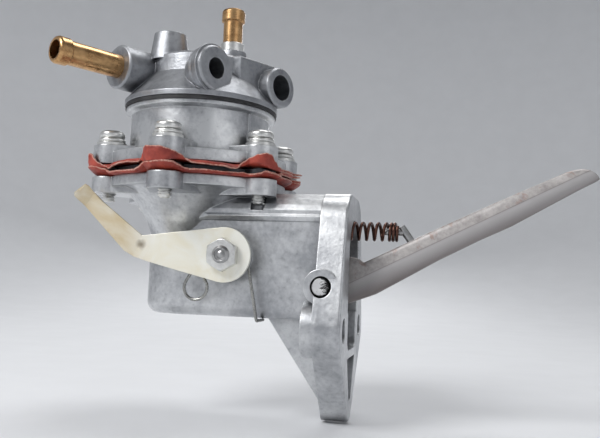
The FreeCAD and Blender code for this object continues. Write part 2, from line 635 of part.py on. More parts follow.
def pivot_pin():
    px, pz = PIVOT
    r = PIN_D / 2
    outline = [(0, -PIN_HALF - 0.6), (r - 0.9, -PIN_HALF - 0.6), (r - 0.2, -PIN_HALF + 0.4),
               (r, -PIN_HALF + 0.6)]
    outline += [(r, PIN_HALF - 0.6), (r - 0.2, PIN_HALF - 0.4), (r - 0.9, PIN_HALF + 0.6),
                (0, PIN_HALF + 0.6)]
    body = lathe(outline, 0, 0)
    body.Placement = FreeCAD.Placement(V(px, 0, pz), FreeCAD.Rotation(V(0, 0, 1), V(0, 1, 0)))
    return body


def eased_bar(outline, half, ease):
    """A bar from a side outline whose long edges are broken on both faces."""
    whole = Part.makePolygon([V(x, 0, z) for x, z in outline + [outline[0]]])
    inset = whole.makeOffset2D(-ease, 2)
    if Part.Face(inset).Area > Part.Face(whole).Area:
        inset = whole.makeOffset2D(ease, 2)
    rows = []
    for wire, y in ((inset, -half), (whole, ease - half), (whole, half - ease), (inset, half)):
        row = wire.copy()
        row.translate(V(0, y, 0))
        rows.append(row)
    return Part.makeLoft(rows, True, True)


def rocker_arm():
    px, pz = PIVOT
    upper = [(-5.0, 22.0), (-3.6, 24.4), (-1.6, 25.4), (1.2, 25.1), (3.8, 23.3), (18.0, 30.5), (30.2, 36.6),
             (43.9, 43.2)]
    upper += [(58.0, 49.9), (72.2, 56.5), (75.0, 57.4), (77.5, 57.7), (79.8, 57.3), (81.8, 56.1),
              (83.4, 54.3)]
    lower = [(77.3, 51.0), (66.0, 44.4), (54.6, 37.7), (44.1, 32.6), (29.8, 25.0), (19.0, 18.6),
             (8.2, 12.3), (-2.5, 8.2)]
    heel = pz - NOSE_DROP
    nose = [(px - 1.0, pz - 7.0), (px - 7.2, heel), (px - 14.6, heel), (px - 15.6, pz + 0.4),
            (px - 14.4, pz + 2.6), (px - 6.8, pz + 3.6)]
    half = ROCKER_T / 2
    bar = eased_bar(upper + lower + nose, half, 0.7)
    hub = cyl_y(HUB_R, -half, half, px, pz)
    body = joined(bar, hub)
    return body.cut(cyl_y(BUSH_D / 2 + PRESS, -10, 10, px, pz)).cut(peg_stem(PEG_D / 2 + PRESS, 44.0))


def hub_bush():
    px, pz = PIVOT
    half = ROCKER_T / 2
    return cyl_y(BUSH_D / 2, -half, half, px, pz).cut(cyl_y(PIN_D / 2 + RUN / 2, -10, 10, px, pz))


def peg_stem(r, top):
    foot = V(PEG_X + PEG_LEAN * (SPRING_Z - PEG_FOOT_Z), 0, PEG_FOOT_Z)
    head = V(PEG_X - PEG_LEAN * (top - SPRING_Z), 0, top)
    return Part.makeCylinder(r, (head - foot).Length, foot, head - foot)


def spring_peg():
    r = PEG_D / 2
    arm = cyl_x(r - 0.15, PEG_X - 6.4, PEG_X, 0, SPRING_Z)
    tip = Part.makeSphere(r - 0.15, V(PEG_X - 6.4, 0, SPRING_Z))
    return joined(peg_stem(r, PEG_TOP_Z), arm, tip)


def rocker_spring():
    wire = ROCKER_WIRE
    radius = (ROCKER_SPRING_D - wire) / 2
    start = SPRING_SEAT_X + wire / 2 + 0.05
    end = PEG_X - PEG_D / 2 - wire / 2 - 0.1
    turns = 10.0
    return coil(radius, wire, (end - start) / turns, turns, start, 0, SPRING_Z, V(1, 0, 0))


def link_lever():
    px, pz = PIVOT
    cheek_in = ROCKER_T / 2 + GAP
    out = cheek_in + CHEEK_T
    under, top = LINK_Z, LINK_Z + LINK_T
    step = pz - NOSE_DROP - TOUCH
    web = [(px - 10.4, step), (px - 10.4, step - 3.4), (px - 19.0, step - 3.4), (px - 24.0, under),
           (AXIS_X - 5.4, under), (AXIS_X - 6.4, under + 1)]
    web += [(AXIS_X - 6.4, top - 1), (AXIS_X - 5.4, top), (px - 25.6, top), (px - 17.2, step)]
    tongue = side_prism(web, -out, out)
    cheeks = []
    for s in (-1, 1):
        y0, y1 = sorted((s * cheek_in, s * out))
        arm = side_prism([(px - 3, pz - 6.2), (px - 14, step - 3.4), (px - 19, step - 3.4),
                          (px - 24, under), (px - 25.6, top), (px - 4, pz + 6.0)], y0, y1)
        cheeks.append(joined(arm, cyl_y(6.8, y0, y1, px, pz)))
    body = joined(tongue, *cheeks)
    room = ROD_D / 2 + SLOT_ROOM
    slot = joined(cyl(room, 0, 40), box(AXIS_X - 20, AXIS_X, -room, room, 0, 40))
    side = ((-55, 6.4), (-36, 6.0), (-30, 8.2), (-30, 12), (-70, 12), (-70, 6.4))
    waist = [prism([V(x, s * y, 0) for x, y in side], V(0, 0, 40)) for s in (-1, 1)]
    return body.cut(slot).cut(waist[0]).cut(waist[1]).cut(cyl_y(PIN_D / 2 + RUN / 2, -20, 20, px, pz))


def hand_shaft():
    hx, hz = HAND
    r = SHAFT_D / 2
    body = joined(cyl_y(r, -LEVER_Y, 7.4, hx, hz), cyl_y(3.0, 7.0, 14.6, hx, hz),
                  cyl_y(STUD_D / 2, -LEVER_Y - LEVER_T - NUT_T - 0.9, -LEVER_Y, hx, hz))
    flat = box(hx - 10, hx + 10, -7.8, 7.0, hz - 10, hz)
    groove = cyl_y(r + 1, -12.4, -10.4, hx, hz).cut(cyl_y(r - 1.0, -12.4, -10.4, hx, hz))
    end = Part.makeCone(STUD_D / 2, STUD_D / 2 - 0.8, 0.8, V(hx, -LEVER_Y - LEVER_T - NUT_T - 0.1, hz),
                        V(0, -1, 0))
    collar = cyl_y(STUD_D, -LEVER_Y - LEVER_T - NUT_T - 0.9, -LEVER_Y - LEVER_T - NUT_T - 0.1, hx, hz)
    tip = -LEVER_Y - LEVER_T - NUT_T - 0.9
    dish = cyl_y(STUD_D / 2 - 0.9, tip - 0.1, tip + 0.7, hx, hz)
    dish = dish.cut(Part.makeSphere(2.6, V(hx, tip + 2.8, hz)))
    return body.cut(flat).cut(groove).cut(collar.cut(end)).cut(dish)


def shaft_seal():
    hx, hz = HAND
    r = SHAFT_D / 2
    return cyl_y(r, -12.3, -10.5, hx, hz).cut(cyl_y(r - 1.0, -12.4, -10.4, hx, hz))


def hand_nut():
    hx, hz = HAND
    at = V(hx, -LEVER_Y - LEVER_T, hz)
    nut = hex_prism(NUT_AF, NUT_T, at, V(0, -1, 0))
    nut.rotate(at, V(0, 1, 0), 30)
    return nut.cut(cyl_y(STUD_D / 2, -40, 0, hx, hz))


def folded(shape, a, b, degrees):
    done = shape.copy()
    mid = -LEVER_Y - LEVER_T / 2
    p, q = V(a[0], mid, a[1]), V(b[0], mid, b[1])
    done.rotate(p, q - p, degrees)
    return done


def fold_rod(a, b):
    mid = -LEVER_Y - LEVER_T / 2
    p, q = V(a[0], mid, a[1]), V(b[0], mid, b[1])
    return Part.makeCylinder(LEVER_T / 2, (q - p).Length, p, q - p)


def hand_lever():
    hx, hz = HAND
    y0, y1 = -LEVER_Y - LEVER_T, -LEVER_Y
    fold_a, fold_b = (-71.4, 29.6), (-74.0, 22.2)
    tab_a, tab_b = (-89.1, 44.1), (-92.1, 39.4)
    blade = side_prism([(-42.8, 33.1), fold_a, fold_b, (-68.6, 20.6), (-57.0, 17.8), (-43.6, 14.66)], y0, y1)
    blade = joined(blade, cyl_y(LEVER_END_R, y0, y1, hx, hz))
    arm = side_prism([fold_a, (-86.0, 41.1), tab_a, tab_b, (-77.6, 24.2), fold_b], y0, y1)
    tab = side_prism([tab_a, (-91.0, 46.6), (-92.2, 47.2), (-95.9, 44.2), (-95.9, 43.0), tab_b], y0, y1)
    tab = joined(folded(tab, tab_a, tab_b, -34.0), fold_rod(tab_a, tab_b))
    arm = folded(joined(arm, tab), fold_a, fold_b, -9.0)
    body = joined(blade, arm, fold_rod(fold_a, fold_b))
    return body.cut(cyl_y(STUD_D / 2 + RUN, -40, 0, hx, hz))


def hand_spring():
    hx, hz = HAND
    ex, ez = HAND_EYE
    w, r = HAND_WIRE / 2, HAND_COIL_R
    y_in, y_out = -SHAFT_BOSS_Y - w - 0.1, -LEVER_Y + w + 0.1
    foot = V(HAND_FOOT_X, y_in, TROUGH_BASE - w - RUN)

    def on(cx, cz, radius, degrees, y):
        t = math.radians(degrees)
        return V(cx + radius * math.cos(t), y, cz + radius * math.sin(t))

    def bend(cx, cz, radius, start, sweep, y):
        t = math.radians(start)
        ring = Part.makeCircle(w, on(cx, cz, radius, start, y), V(-math.sin(t), 0, math.cos(t)))
        return Part.Face(Part.Wire(ring)).revolve(V(cx, y, cz), V(0, -1, 0), sweep)

    def rod(a, b, radius=w):
        return Part.makeCylinder(radius, (b - a).Length, a, b - a)

    far = math.hypot(foot.x - hx, foot.z - hz)
    leave = math.degrees(math.atan2(foot.z - hz, foot.x - hx) + math.acos(r / far))
    far = math.hypot(ex - hx, ez - hz)
    turn = math.degrees(math.atan2(ez - hz, ex - hx) - math.acos((r - HAND_EYE_R) / far))
    inner = bend(hx, hz, r, leave, 315, y_in)
    outer = bend(hx, hz, r, turn - 315, 315, y_out)
    eye = bend(ex, ez, HAND_EYE_R, turn, 250, y_out)
    across = rod(on(hx, hz, r, 90, y_in), on(hx, hz, r, 90, y_out), w * 0.9)
    leg = rod(on(hx, hz, r, leave, y_in), foot)
    hook = rod(foot, V(foot.x, foot.y + HAND_HOOK, foot.z))
    arm = rod(on(hx, hz, r, turn, y_out), on(ex, ez, HAND_EYE_R, turn, y_out))
    return joined(inner, outer, eye, across, leg, Part.makeSphere(w, foot), hook, arm)


def valve_seat(side, z0, z1):
    x = AXIS_X + side * VALVE_X
    seat = cyl(VALVE_R, z0, z1, x).cut(cyl(2.6, z0 - 1, z1 + 1, x))
    return seat


def valve_cage(side, z_seat, z_roof):
    x = AXIS_X + side * VALVE_X
    up = 1 if z_roof > z_seat else -1
    low, high = sorted((z_seat, z_roof))
    body = cyl(VALVE_R, low, high, x)
    a, b = sorted((z_seat - up, z_roof - up * CAGE_ROOF))
    body = body.cut(cyl(VALVE_R - 1.0, a, b, x))
    vents = [cyl(1.3, low - 1, high + 1, x + 4.2 * math.cos(math.radians(t)),
                 4.2 * math.sin(math.radians(t))) for t in (0, 90, 180, 270)]
    return body.cut(Part.makeCompound(vents))


def valve_disc(side, z0):
    return cyl(4.6, z0, z0 + DISC_T, AXIS_X + side * VALVE_X)


def valve_spring(side, z0, z1):
    wire = 0.6
    turns = 3.0
    pitch = (z1 - z0 - wire - 0.04) / turns
    return coil(2.2, wire, pitch, turns, AXIS_X + side * VALVE_X, 0, z0 + wire / 2 + 0.02)


def strainer():
    x = AXIS_X - VALVE_X
    inside = cyl(VALVE_R - 0.8, WEB_TOP - 1, WEB_TOP + 7.6, x)
    return cyl(VALVE_R - 0.4, WEB_TOP + 0.02, WEB_TOP + 8.0, x).cut(inside)


def cover_screw():
    z = COVER_TOP + 0.9
    foot = WEB_TOP + 1.5
    shank = lathe([(0, foot), (2.4, foot), (3.0, foot + 0.7), (3.0, z), (0, z)])
    head = hex_prism(8.0, 3.6, V(AXIS_X, 0, z), V(0, 0, 1))
    return joined(shank, head)


def cover_washer():
    return lathe([(3.2, COVER_TOP), (5.2, COVER_TOP), (5.2, COVER_TOP + 0.9), (3.2, COVER_TOP + 0.9)])


NODES = {
    "lower_body": lower_body, "upper_body": upper_body, "head_cover": head_cover, "cover_seal": cover_seal,
    "cover_screw": cover_screw, "cover_washer": cover_washer, "inlet_tube": inlet_tube, "return_tube": return_tube,
    "return_collar": return_collar, "flange_screws": lambda: six(flange_screw),
    "spring_washers": lambda: six(spring_washer), "flat_washers": lambda: six(flat_washer),
    "fuel_sheet": fuel_sheet, "oil_sheet": oil_sheet, "spacer_ring": spacer_ring, "inner_spacer": inner_spacer,
    "upper_plate": upper_plate, "lower_plate": lower_plate, "rod_nut": rod_nut, "pull_rod": pull_rod,
    "rod_seal": rod_seal, "seal_cup": seal_cup, "diaphragm_spring": diaphragm_spring, "pivot_pin": pivot_pin,
    "rocker_arm": rocker_arm, "hub_bush": hub_bush, "spring_peg": spring_peg, "rocker_spring": rocker_spring,
    "link_lever": link_lever, "hand_shaft": hand_shaft, "shaft_seal": shaft_seal, "hand_nut": hand_nut,
    "hand_lever": hand_lever, "hand_spring": hand_spring, "strainer": strainer,
    "inlet_seat": lambda: valve_seat(-1, INLET_SEAT_Z, WEB_TOP),
    "outlet_seat": lambda: valve_seat(1, WEB_Z, OUTLET_SEAT_Z),
    "inlet_cage": lambda: valve_cage(-1, INLET_SEAT_Z, INLET_SEAT_Z - CAGE_H),
    "outlet_cage": lambda: valve_cage(1, OUTLET_SEAT_Z, OUTLET_SEAT_Z + CAGE_H),
    "inlet_disc": lambda: valve_disc(-1, INLET_SEAT_Z - DISC_T),
    "outlet_disc": lambda: valve_disc(1, OUTLET_SEAT_Z),
    "inlet_valve_spring": lambda: valve_spring(-1, INLET_SEAT_Z - CAGE_H + CAGE_ROOF, INLET_SEAT_Z - DISC_T),
    "outlet_valve_spring": lambda: valve_spring(1, OUTLET_SEAT_Z + DISC_T,
                                                OUTLET_SEAT_Z + CAGE_H - CAGE_ROOF),
}

for name, build in NODES.items():
    shape = build()
    shape.exportStep("parts/" + name + ".step")
    print(name, shape.isValid(), len(shape.Solids), round(shape.Volume, 1))
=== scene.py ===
import bmesh
import bpy
import math
from mathutils import Matrix, Vector, noise


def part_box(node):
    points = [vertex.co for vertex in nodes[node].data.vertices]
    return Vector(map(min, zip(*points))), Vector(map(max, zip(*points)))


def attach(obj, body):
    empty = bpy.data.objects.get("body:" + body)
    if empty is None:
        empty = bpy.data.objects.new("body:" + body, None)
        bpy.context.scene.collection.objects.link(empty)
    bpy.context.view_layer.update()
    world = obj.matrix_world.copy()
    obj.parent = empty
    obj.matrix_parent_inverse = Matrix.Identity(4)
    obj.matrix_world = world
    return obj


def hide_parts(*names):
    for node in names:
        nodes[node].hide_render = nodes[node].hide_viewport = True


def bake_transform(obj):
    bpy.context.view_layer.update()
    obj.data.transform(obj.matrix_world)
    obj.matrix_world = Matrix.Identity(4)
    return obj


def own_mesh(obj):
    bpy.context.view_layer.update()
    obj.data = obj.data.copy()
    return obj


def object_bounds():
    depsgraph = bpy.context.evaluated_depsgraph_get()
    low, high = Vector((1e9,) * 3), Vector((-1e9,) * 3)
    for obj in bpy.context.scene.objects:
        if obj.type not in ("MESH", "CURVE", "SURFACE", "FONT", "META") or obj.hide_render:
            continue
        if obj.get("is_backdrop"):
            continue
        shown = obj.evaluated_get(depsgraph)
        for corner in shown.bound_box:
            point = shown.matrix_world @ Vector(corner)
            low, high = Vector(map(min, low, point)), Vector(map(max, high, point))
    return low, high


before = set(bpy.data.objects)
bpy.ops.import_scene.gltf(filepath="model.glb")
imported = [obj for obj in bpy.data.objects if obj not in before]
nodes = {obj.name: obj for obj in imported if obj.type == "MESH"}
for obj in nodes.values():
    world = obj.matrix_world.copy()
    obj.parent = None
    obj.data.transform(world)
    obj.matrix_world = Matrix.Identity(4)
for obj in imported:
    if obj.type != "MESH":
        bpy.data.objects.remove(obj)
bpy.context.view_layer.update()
mm = 0.001
axisX = -60.5  # mm, the diaphragm axis; every mm value below is in the row frame
print("frame loaded")


cameraValues = {
    "lens": 44.4,
    "place": (0.034567, -0.265658, 0.015882),
    "right": (0.97912, 0.19938, 0.03947),
    "up": (-0.02182, -0.08996, 0.99570),
    "back": (0.20208, -0.97578, -0.08373),
}


def placeCamera(v):
    data = bpy.data.cameras.new("camera")
    data.lens = v["lens"]
    data.sensor_width = 36
    data.sensor_fit = "HORIZONTAL"
    data.clip_start = 0.005
    obj = bpy.data.objects.new("camera", data)
    bpy.context.scene.collection.objects.link(obj)
    turned = Matrix((v["right"], v["up"], v["back"])).transposed().to_4x4()
    obj.matrix_world = Matrix.Translation(v["place"]) @ turned
    bpy.context.scene.camera = obj


stageValues = {
    "floorHeight": -0.0336,  # just under the flange's foot
    "floorColour": (0.74, 0.75, 0.77),
    "worldColour": (0.70, 0.72, 0.75),
    "worldStrength": 0.22,
    "lamps": [  # name, place, aimed at, size, watts
        ("keyLamp", (-0.48, -0.58, 0.68), (-0.03, 0, 0.04), 0.46, 6.2),
        ("sideLamp", (0.70, -0.45, 0.35), (-0.01, 0, 0.02), 0.60, 0.5),
        ("topLamp", (0.05, 0.25, 0.90), (-0.02, 0, 0.04), 0.50, 3.0),
        ("backLamp", (-0.20, 0.80, 0.40), (-0.02, 0, 0.04), 0.40, 1.6),
    ],
}


def addNode(tree, kind, **values):
    node = tree.nodes.new(kind)
    for key, value in values.items():
        setattr(node, key, value)
    return node


def freshTree(material):
    material.use_nodes = True
    tree = material.node_tree
    tree.nodes.clear()
    out = tree.nodes.new("ShaderNodeOutputMaterial")
    shader = tree.nodes.new("ShaderNodeBsdfPrincipled")
    tree.links.new(shader.outputs[0], out.inputs[0])
    return tree, shader


def toneRamp(tree, factor, low, high, lowAt=0.35, highAt=0.65):  # two tones between two points of a factor
    node = tree.nodes.new("ShaderNodeValToRGB")
    first, last = node.color_ramp.elements[0], node.color_ramp.elements[1]
    first.position, first.color = lowAt, (*low, 1)
    last.position, last.color = highAt, (*high, 1)
    tree.links.new(factor, node.inputs[0])
    return node.outputs[0]


def mixTones(tree, factor, a, b, kind="MIX"):
    node = tree.nodes.new("ShaderNodeMix")
    node.data_type = "RGBA"
    node.blend_type = kind
    for value, socket in ((factor, node.inputs[0]), (a, node.inputs[6]), (b, node.inputs[7])):
        if isinstance(value, (int, float)):
            socket.default_value = value
        elif isinstance(value, tuple):
            socket.default_value = (*value, 1)
        else:
            tree.links.new(value, socket)
    return node.outputs[2]


def calc(tree, kind, a, b=0.0, clamp=False):
    node = tree.nodes.new("ShaderNodeMath")
    node.operation = kind
    node.use_clamp = clamp
    for value, socket in ((a, node.inputs[0]), (b, node.inputs[1])):
        if isinstance(value, (int, float)):
            socket.default_value = value
        else:
            tree.links.new(value, socket)
    return node.outputs[0]


def spread(tree, factor, low, high):  # a factor of 0 to 1 made a value of low to high
    node = tree.nodes.new("ShaderNodeMapRange")
    node.inputs[3].default_value = low
    node.inputs[4].default_value = high
    tree.links.new(factor, node.inputs[0])
    return node.outputs[0]


def noiseOf(tree, where, scale, detail=3.0, rough=0.55, distortion=0.0):
    node = tree.nodes.new("ShaderNodeTexNoise")
    node.inputs["Scale"].default_value = scale
    node.inputs["Detail"].default_value = detail
    node.inputs["Roughness"].default_value = rough
    node.inputs["Distortion"].default_value = distortion
    tree.links.new(where, node.inputs["Vector"])
    return node.outputs[0]


def stretched(tree, where, scale, turn=(0, 0, 0)):
    node = tree.nodes.new("ShaderNodeMapping")
    node.inputs["Scale"].default_value = scale
    node.inputs["Rotation"].default_value = turn
    tree.links.new(where, node.inputs["Vector"])
    return node.outputs[0]


def objectPlace(tree):
    return tree.nodes.new("ShaderNodeTexCoord").outputs["Object"]


def reliefOf(tree, shader, heights, edge=0.0):  # heights are (factor, depth in metres); edge rounds the corners
    normal = None
    if edge:
        bevel = tree.nodes.new("ShaderNodeBevel")
        bevel.samples = 6
        bevel.inputs["Radius"].default_value = edge
        normal = bevel.outputs[0]
    for factor, depth in heights:
        bump = tree.nodes.new("ShaderNodeBump")
        bump.inputs["Strength"].default_value = 1.0
        bump.inputs["Distance"].default_value = depth
        tree.links.new(factor, bump.inputs["Height"])
        if normal:
            tree.links.new(normal, bump.inputs["Normal"])
        normal = bump.outputs[0]
    if normal:
        tree.links.new(normal, shader.inputs["Normal"])


castingValues = {
    "lower": {"dark": (0.40, 0.41, 0.43), "light": (0.68, 0.69, 0.70), "rough": (0.30, 0.46),
              "grain": 0.00004, "patch": 48.0, "edge": 0.0006},
    "upper": {"dark": (0.42, 0.43, 0.45), "light": (0.70, 0.71, 0.72), "rough": (0.26, 0.40),
              "grain": 0.00004, "patch": 60.0, "edge": 0.0005},
    "cover": {"dark": (0.28, 0.29, 0.31), "light": (0.44, 0.45, 0.47), "rough": (0.38, 0.54),
              "grain": 0.00008, "patch": 60.0, "edge": 0.0006},
}


def castMetal(name, v):  # die-cast surface: cloudy, with a painted highlight along its edges and painted shade in its corners
    material = bpy.data.materials.new(name)
    tree, shader = freshTree(material)
    where = objectPlace(tree)
    patches = noiseOf(tree, where, v["patch"], 4.0, 0.6, 0.4)
    specks = noiseOf(tree, where, 650.0, 3.0, 0.6)
    grain = noiseOf(tree, where, 1900.0, 2.0, 0.5)
    flow = noiseOf(tree, stretched(tree, where, (50, 50, 230)), 1.0, 3.0, 0.5, 0.8)
    blend = calc(tree, "ADD", calc(tree, "MULTIPLY", patches, 0.75), calc(tree, "MULTIPLY", specks, 0.25))
    tone = toneRamp(tree, blend, v["dark"], v["light"], 0.38, 0.58)
    pits = toneRamp(tree, specks, (0.86, 0.86, 0.86), (1, 1, 1), 0.24, 0.40)
    tone = mixTones(tree, 1.0, tone, pits, "MULTIPLY")
    # painted highlight: the colour is lifted along the edges, where the bevelled normal turns away from the face normal
    soft = tree.nodes.new("ShaderNodeBevel")
    soft.samples = 6
    soft.inputs["Radius"].default_value = v["edge"] * 1.3
    faceNormal = tree.nodes.new("ShaderNodeNewGeometry")
    turned = addNode(tree, "ShaderNodeVectorMath", operation="DOT_PRODUCT")
    tree.links.new(soft.outputs[0], turned.inputs[0])
    tree.links.new(faceNormal.outputs["Normal"], turned.inputs[1])
    wearAndEdgeHighlight = calc(tree, "MULTIPLY", calc(tree, "SUBTRACT", 1.0, turned.outputs["Value"]), 2.2, True)
    tone = mixTones(tree, wearAndEdgeHighlight, tone, tuple(min(1.0, c * 1.22) for c in v["light"]))
    # painted shade: the colour darkens where ambient occlusion finds corners, recesses and joints
    corner = tree.nodes.new("ShaderNodeAmbientOcclusion")
    corner.samples = 6
    corner.inputs["Distance"].default_value = 0.005
    paintedCornerShade = toneRamp(tree, corner.outputs["AO"], (0.42, 0.42, 0.43), (1, 1, 1), 0.25, 0.85)
    tree.links.new(mixTones(tree, 1.0, tone, paintedCornerShade, "MULTIPLY"), shader.inputs["Base Color"])
    mixed = calc(tree, "ADD", calc(tree, "MULTIPLY", flow, 0.5), calc(tree, "MULTIPLY", specks, 0.5))
    tree.links.new(spread(tree, mixed, *v["rough"]), shader.inputs["Roughness"])
    shader.inputs["Metallic"].default_value = 1.0
    reliefOf(tree, shader, [(patches, v["grain"] * 6), (specks, v["grain"]), (grain, v["grain"] * 0.5)], v["edge"])
    return material


metalValues = {
    "zinc": {"dark": (0.56, 0.56, 0.55), "light": (0.82, 0.82, 0.80), "rough": (0.28, 0.42),
             "scale": 420.0, "relief": 0.00002, "edge": 0.0003},
    "steel": {"dark": (0.30, 0.30, 0.30), "light": (0.50, 0.50, 0.50), "rough": (0.28, 0.46),
              "scale": 380.0, "relief": 0.00002, "edge": 0.0003},
    "dull": {"dark": (0.045, 0.047, 0.052), "light": (0.12, 0.125, 0.135), "rough": (0.45, 0.6),
             "scale": 380.0, "relief": 0.00003, "edge": 0.0002},
    "bronze": {"dark": (0.36, 0.22, 0.11), "light": (0.54, 0.37, 0.20), "rough": (0.3, 0.5),
               "scale": 300.0, "relief": 0.00002, "edge": 0.0002},
    "copper": {"dark": (0.42, 0.20, 0.12), "light": (0.62, 0.34, 0.22), "rough": (0.3, 0.5),
               "scale": 300.0, "relief": 0.00002, "edge": 0.0002},
    "wire": {"dark": (0.24, 0.24, 0.23), "light": (0.38, 0.38, 0.36), "rough": (0.20, 0.34),
             "scale": 600.0, "relief": 0.00001, "edge": 0.0},
    # coil: dark oiled wire, made darker still as painted shade for the coils inside the body's opening
    "coil": {"dark": (0.035, 0.018, 0.014), "light": (0.16, 0.080, 0.062), "rough": (0.24, 0.42),
             "scale": 420.0, "relief": 0.00002, "edge": 0.0},
}


def plainMetal(name, v):
    material = bpy.data.materials.new(name)
    tree, shader = freshTree(material)
    where = objectPlace(tree)
    cloud = noiseOf(tree, where, v["scale"] * 0.25, 3.0, 0.6, 0.3)
    specks = noiseOf(tree, where, v["scale"] * 2.0, 3.0, 0.6)
    blend = calc(tree, "ADD", calc(tree, "MULTIPLY", cloud, 0.6), calc(tree, "MULTIPLY", specks, 0.4))
    tree.links.new(toneRamp(tree, blend, v["dark"], v["light"], 0.32, 0.60), shader.inputs["Base Color"])
    tree.links.new(spread(tree, specks, *v["rough"]), shader.inputs["Roughness"])
    shader.inputs["Metallic"].default_value = 1.0
    reliefOf(tree, shader, [(specks, v["relief"]), (cloud, v["relief"] * 3)], v["edge"])
    return material


brassValues = {"dark": (0.34, 0.175, 0.070), "light": (0.68, 0.42, 0.20), "rough": (0.20, 0.36)}


def drawnBrass(name, v, turn):  # the drawing lines run along the tube, which lies flat at this turn, or stands at None
    material = bpy.data.materials.new(name)
    tree, shader = freshTree(material)
    where = objectPlace(tree)
    if turn is None:
        along = stretched(tree, where, (900, 900, 60))
    else:
        along = stretched(tree, where, (900, 60, 900), (0, 0, -turn))
    lines = noiseOf(tree, along, 1.0, 2.0, 0.5)
    stain = noiseOf(tree, where, 150.0, 4.0, 0.6, 0.5)
    blend = calc(tree, "ADD", calc(tree, "MULTIPLY", stain, 0.7), calc(tree, "MULTIPLY", lines, 0.3))
    tree.links.new(toneRamp(tree, blend, v["dark"], v["light"], 0.30, 0.58), shader.inputs["Base Color"])
    tree.links.new(spread(tree, stain, *v["rough"]), shader.inputs["Roughness"])
    shader.inputs["Metallic"].default_value = 1.0
    reliefOf(tree, shader, [(lines, 0.00002), (stain, 0.00004)], 0.0002)
    return material


clothValues = {
    "deep": (0.20, 0.020, 0.013), "pale": (0.43, 0.066, 0.040), "cut": (0.60, 0.34, 0.27),
    "weave": 1500.0, "yarn": 420.0, "cutWide": 0.30,  # cutWide is in mm
}


def redCloth(name, v, rim=False):  # rubber-faced cloth; its cut edge is paler and shows the yarn
    material = bpy.data.materials.new(name)
    tree, shader = freshTree(material)
    where = objectPlace(tree)
    cloud = noiseOf(tree, where, 150.0, 4.0, 0.6, 0.4)
    fine = noiseOf(tree, where, v["weave"], 2.0, 0.6)
    yarn = addNode(tree, "ShaderNodeTexWave", wave_type="BANDS", bands_direction="DIAGONAL")
    yarn.inputs["Scale"].default_value = v["yarn"]
    yarn.inputs["Distortion"].default_value = 1.6
    yarn.inputs["Detail"].default_value = 2.0
    tree.links.new(where, yarn.inputs["Vector"])
    tone = toneRamp(tree, cloud, v["deep"], v["pale"], 0.36, 0.64)
    frayed = toneRamp(tree, fine, (0.25, 0.25, 0.25), (1, 1, 1), 0.35, 0.6)
    if not rim:
        edge = addNode(tree, "ShaderNodeAttribute", attribute_name="cutEdge")
        ragged = calc(tree, "ADD", edge.outputs["Fac"], calc(tree, "MULTIPLY", fine, -0.25))
        near = toneRamp(tree, calc(tree, "DIVIDE", ragged, v["cutWide"]), (1, 1, 1), (0, 0, 0), 0.45, 0.75)
        frayed = calc(tree, "MULTIPLY", frayed, near)
    tone = mixTones(tree, frayed, tone, v["cut"])
    tree.links.new(tone, shader.inputs["Base Color"])
    tree.links.new(spread(tree, fine, 0.40, 0.66), shader.inputs["Roughness"])
    reliefOf(tree, shader, [(cloud, 0.0002), (yarn.outputs[1], 0.00003), (fine, 0.00005)])
    return material


sealValues = {"dark": (0.010, 0.010, 0.011), "light": (0.035, 0.035, 0.037)}


def blackRubber(name, v):
    material = bpy.data.materials.new(name)
    tree, shader = freshTree(material)
    where = objectPlace(tree)
    cloud = noiseOf(tree, where, 260.0, 4.0, 0.6)
    tree.links.new(toneRamp(tree, cloud, v["dark"], v["light"]), shader.inputs["Base Color"])
    tree.links.new(spread(tree, cloud, 0.42, 0.68), shader.inputs["Roughness"])
    reliefOf(tree, shader, [(cloud, 0.00006)])
    return material


leverValues = {
    # smooth to low is the painted shade down the rounded face below the parting line; low also darkens the parting line
    "dark": (0.26, 0.24, 0.235), "light": (0.46, 0.435, 0.425), "smooth": (0.50, 0.485, 0.485),
    "low": (0.17, 0.145, 0.14), "brown": (0.30, 0.205, 0.175), "wearAndEdgeHighlight": (0.09, 0.08, 0.075),
    "line": (-0.511, 0.0, 1.0), "lineAt": 0.01628,  # which way the parting line is measured, and how far out it is
    "face": (0.52, 0, -0.854), "faceAt": -0.0040,  # the same for the contact face under the tip
}


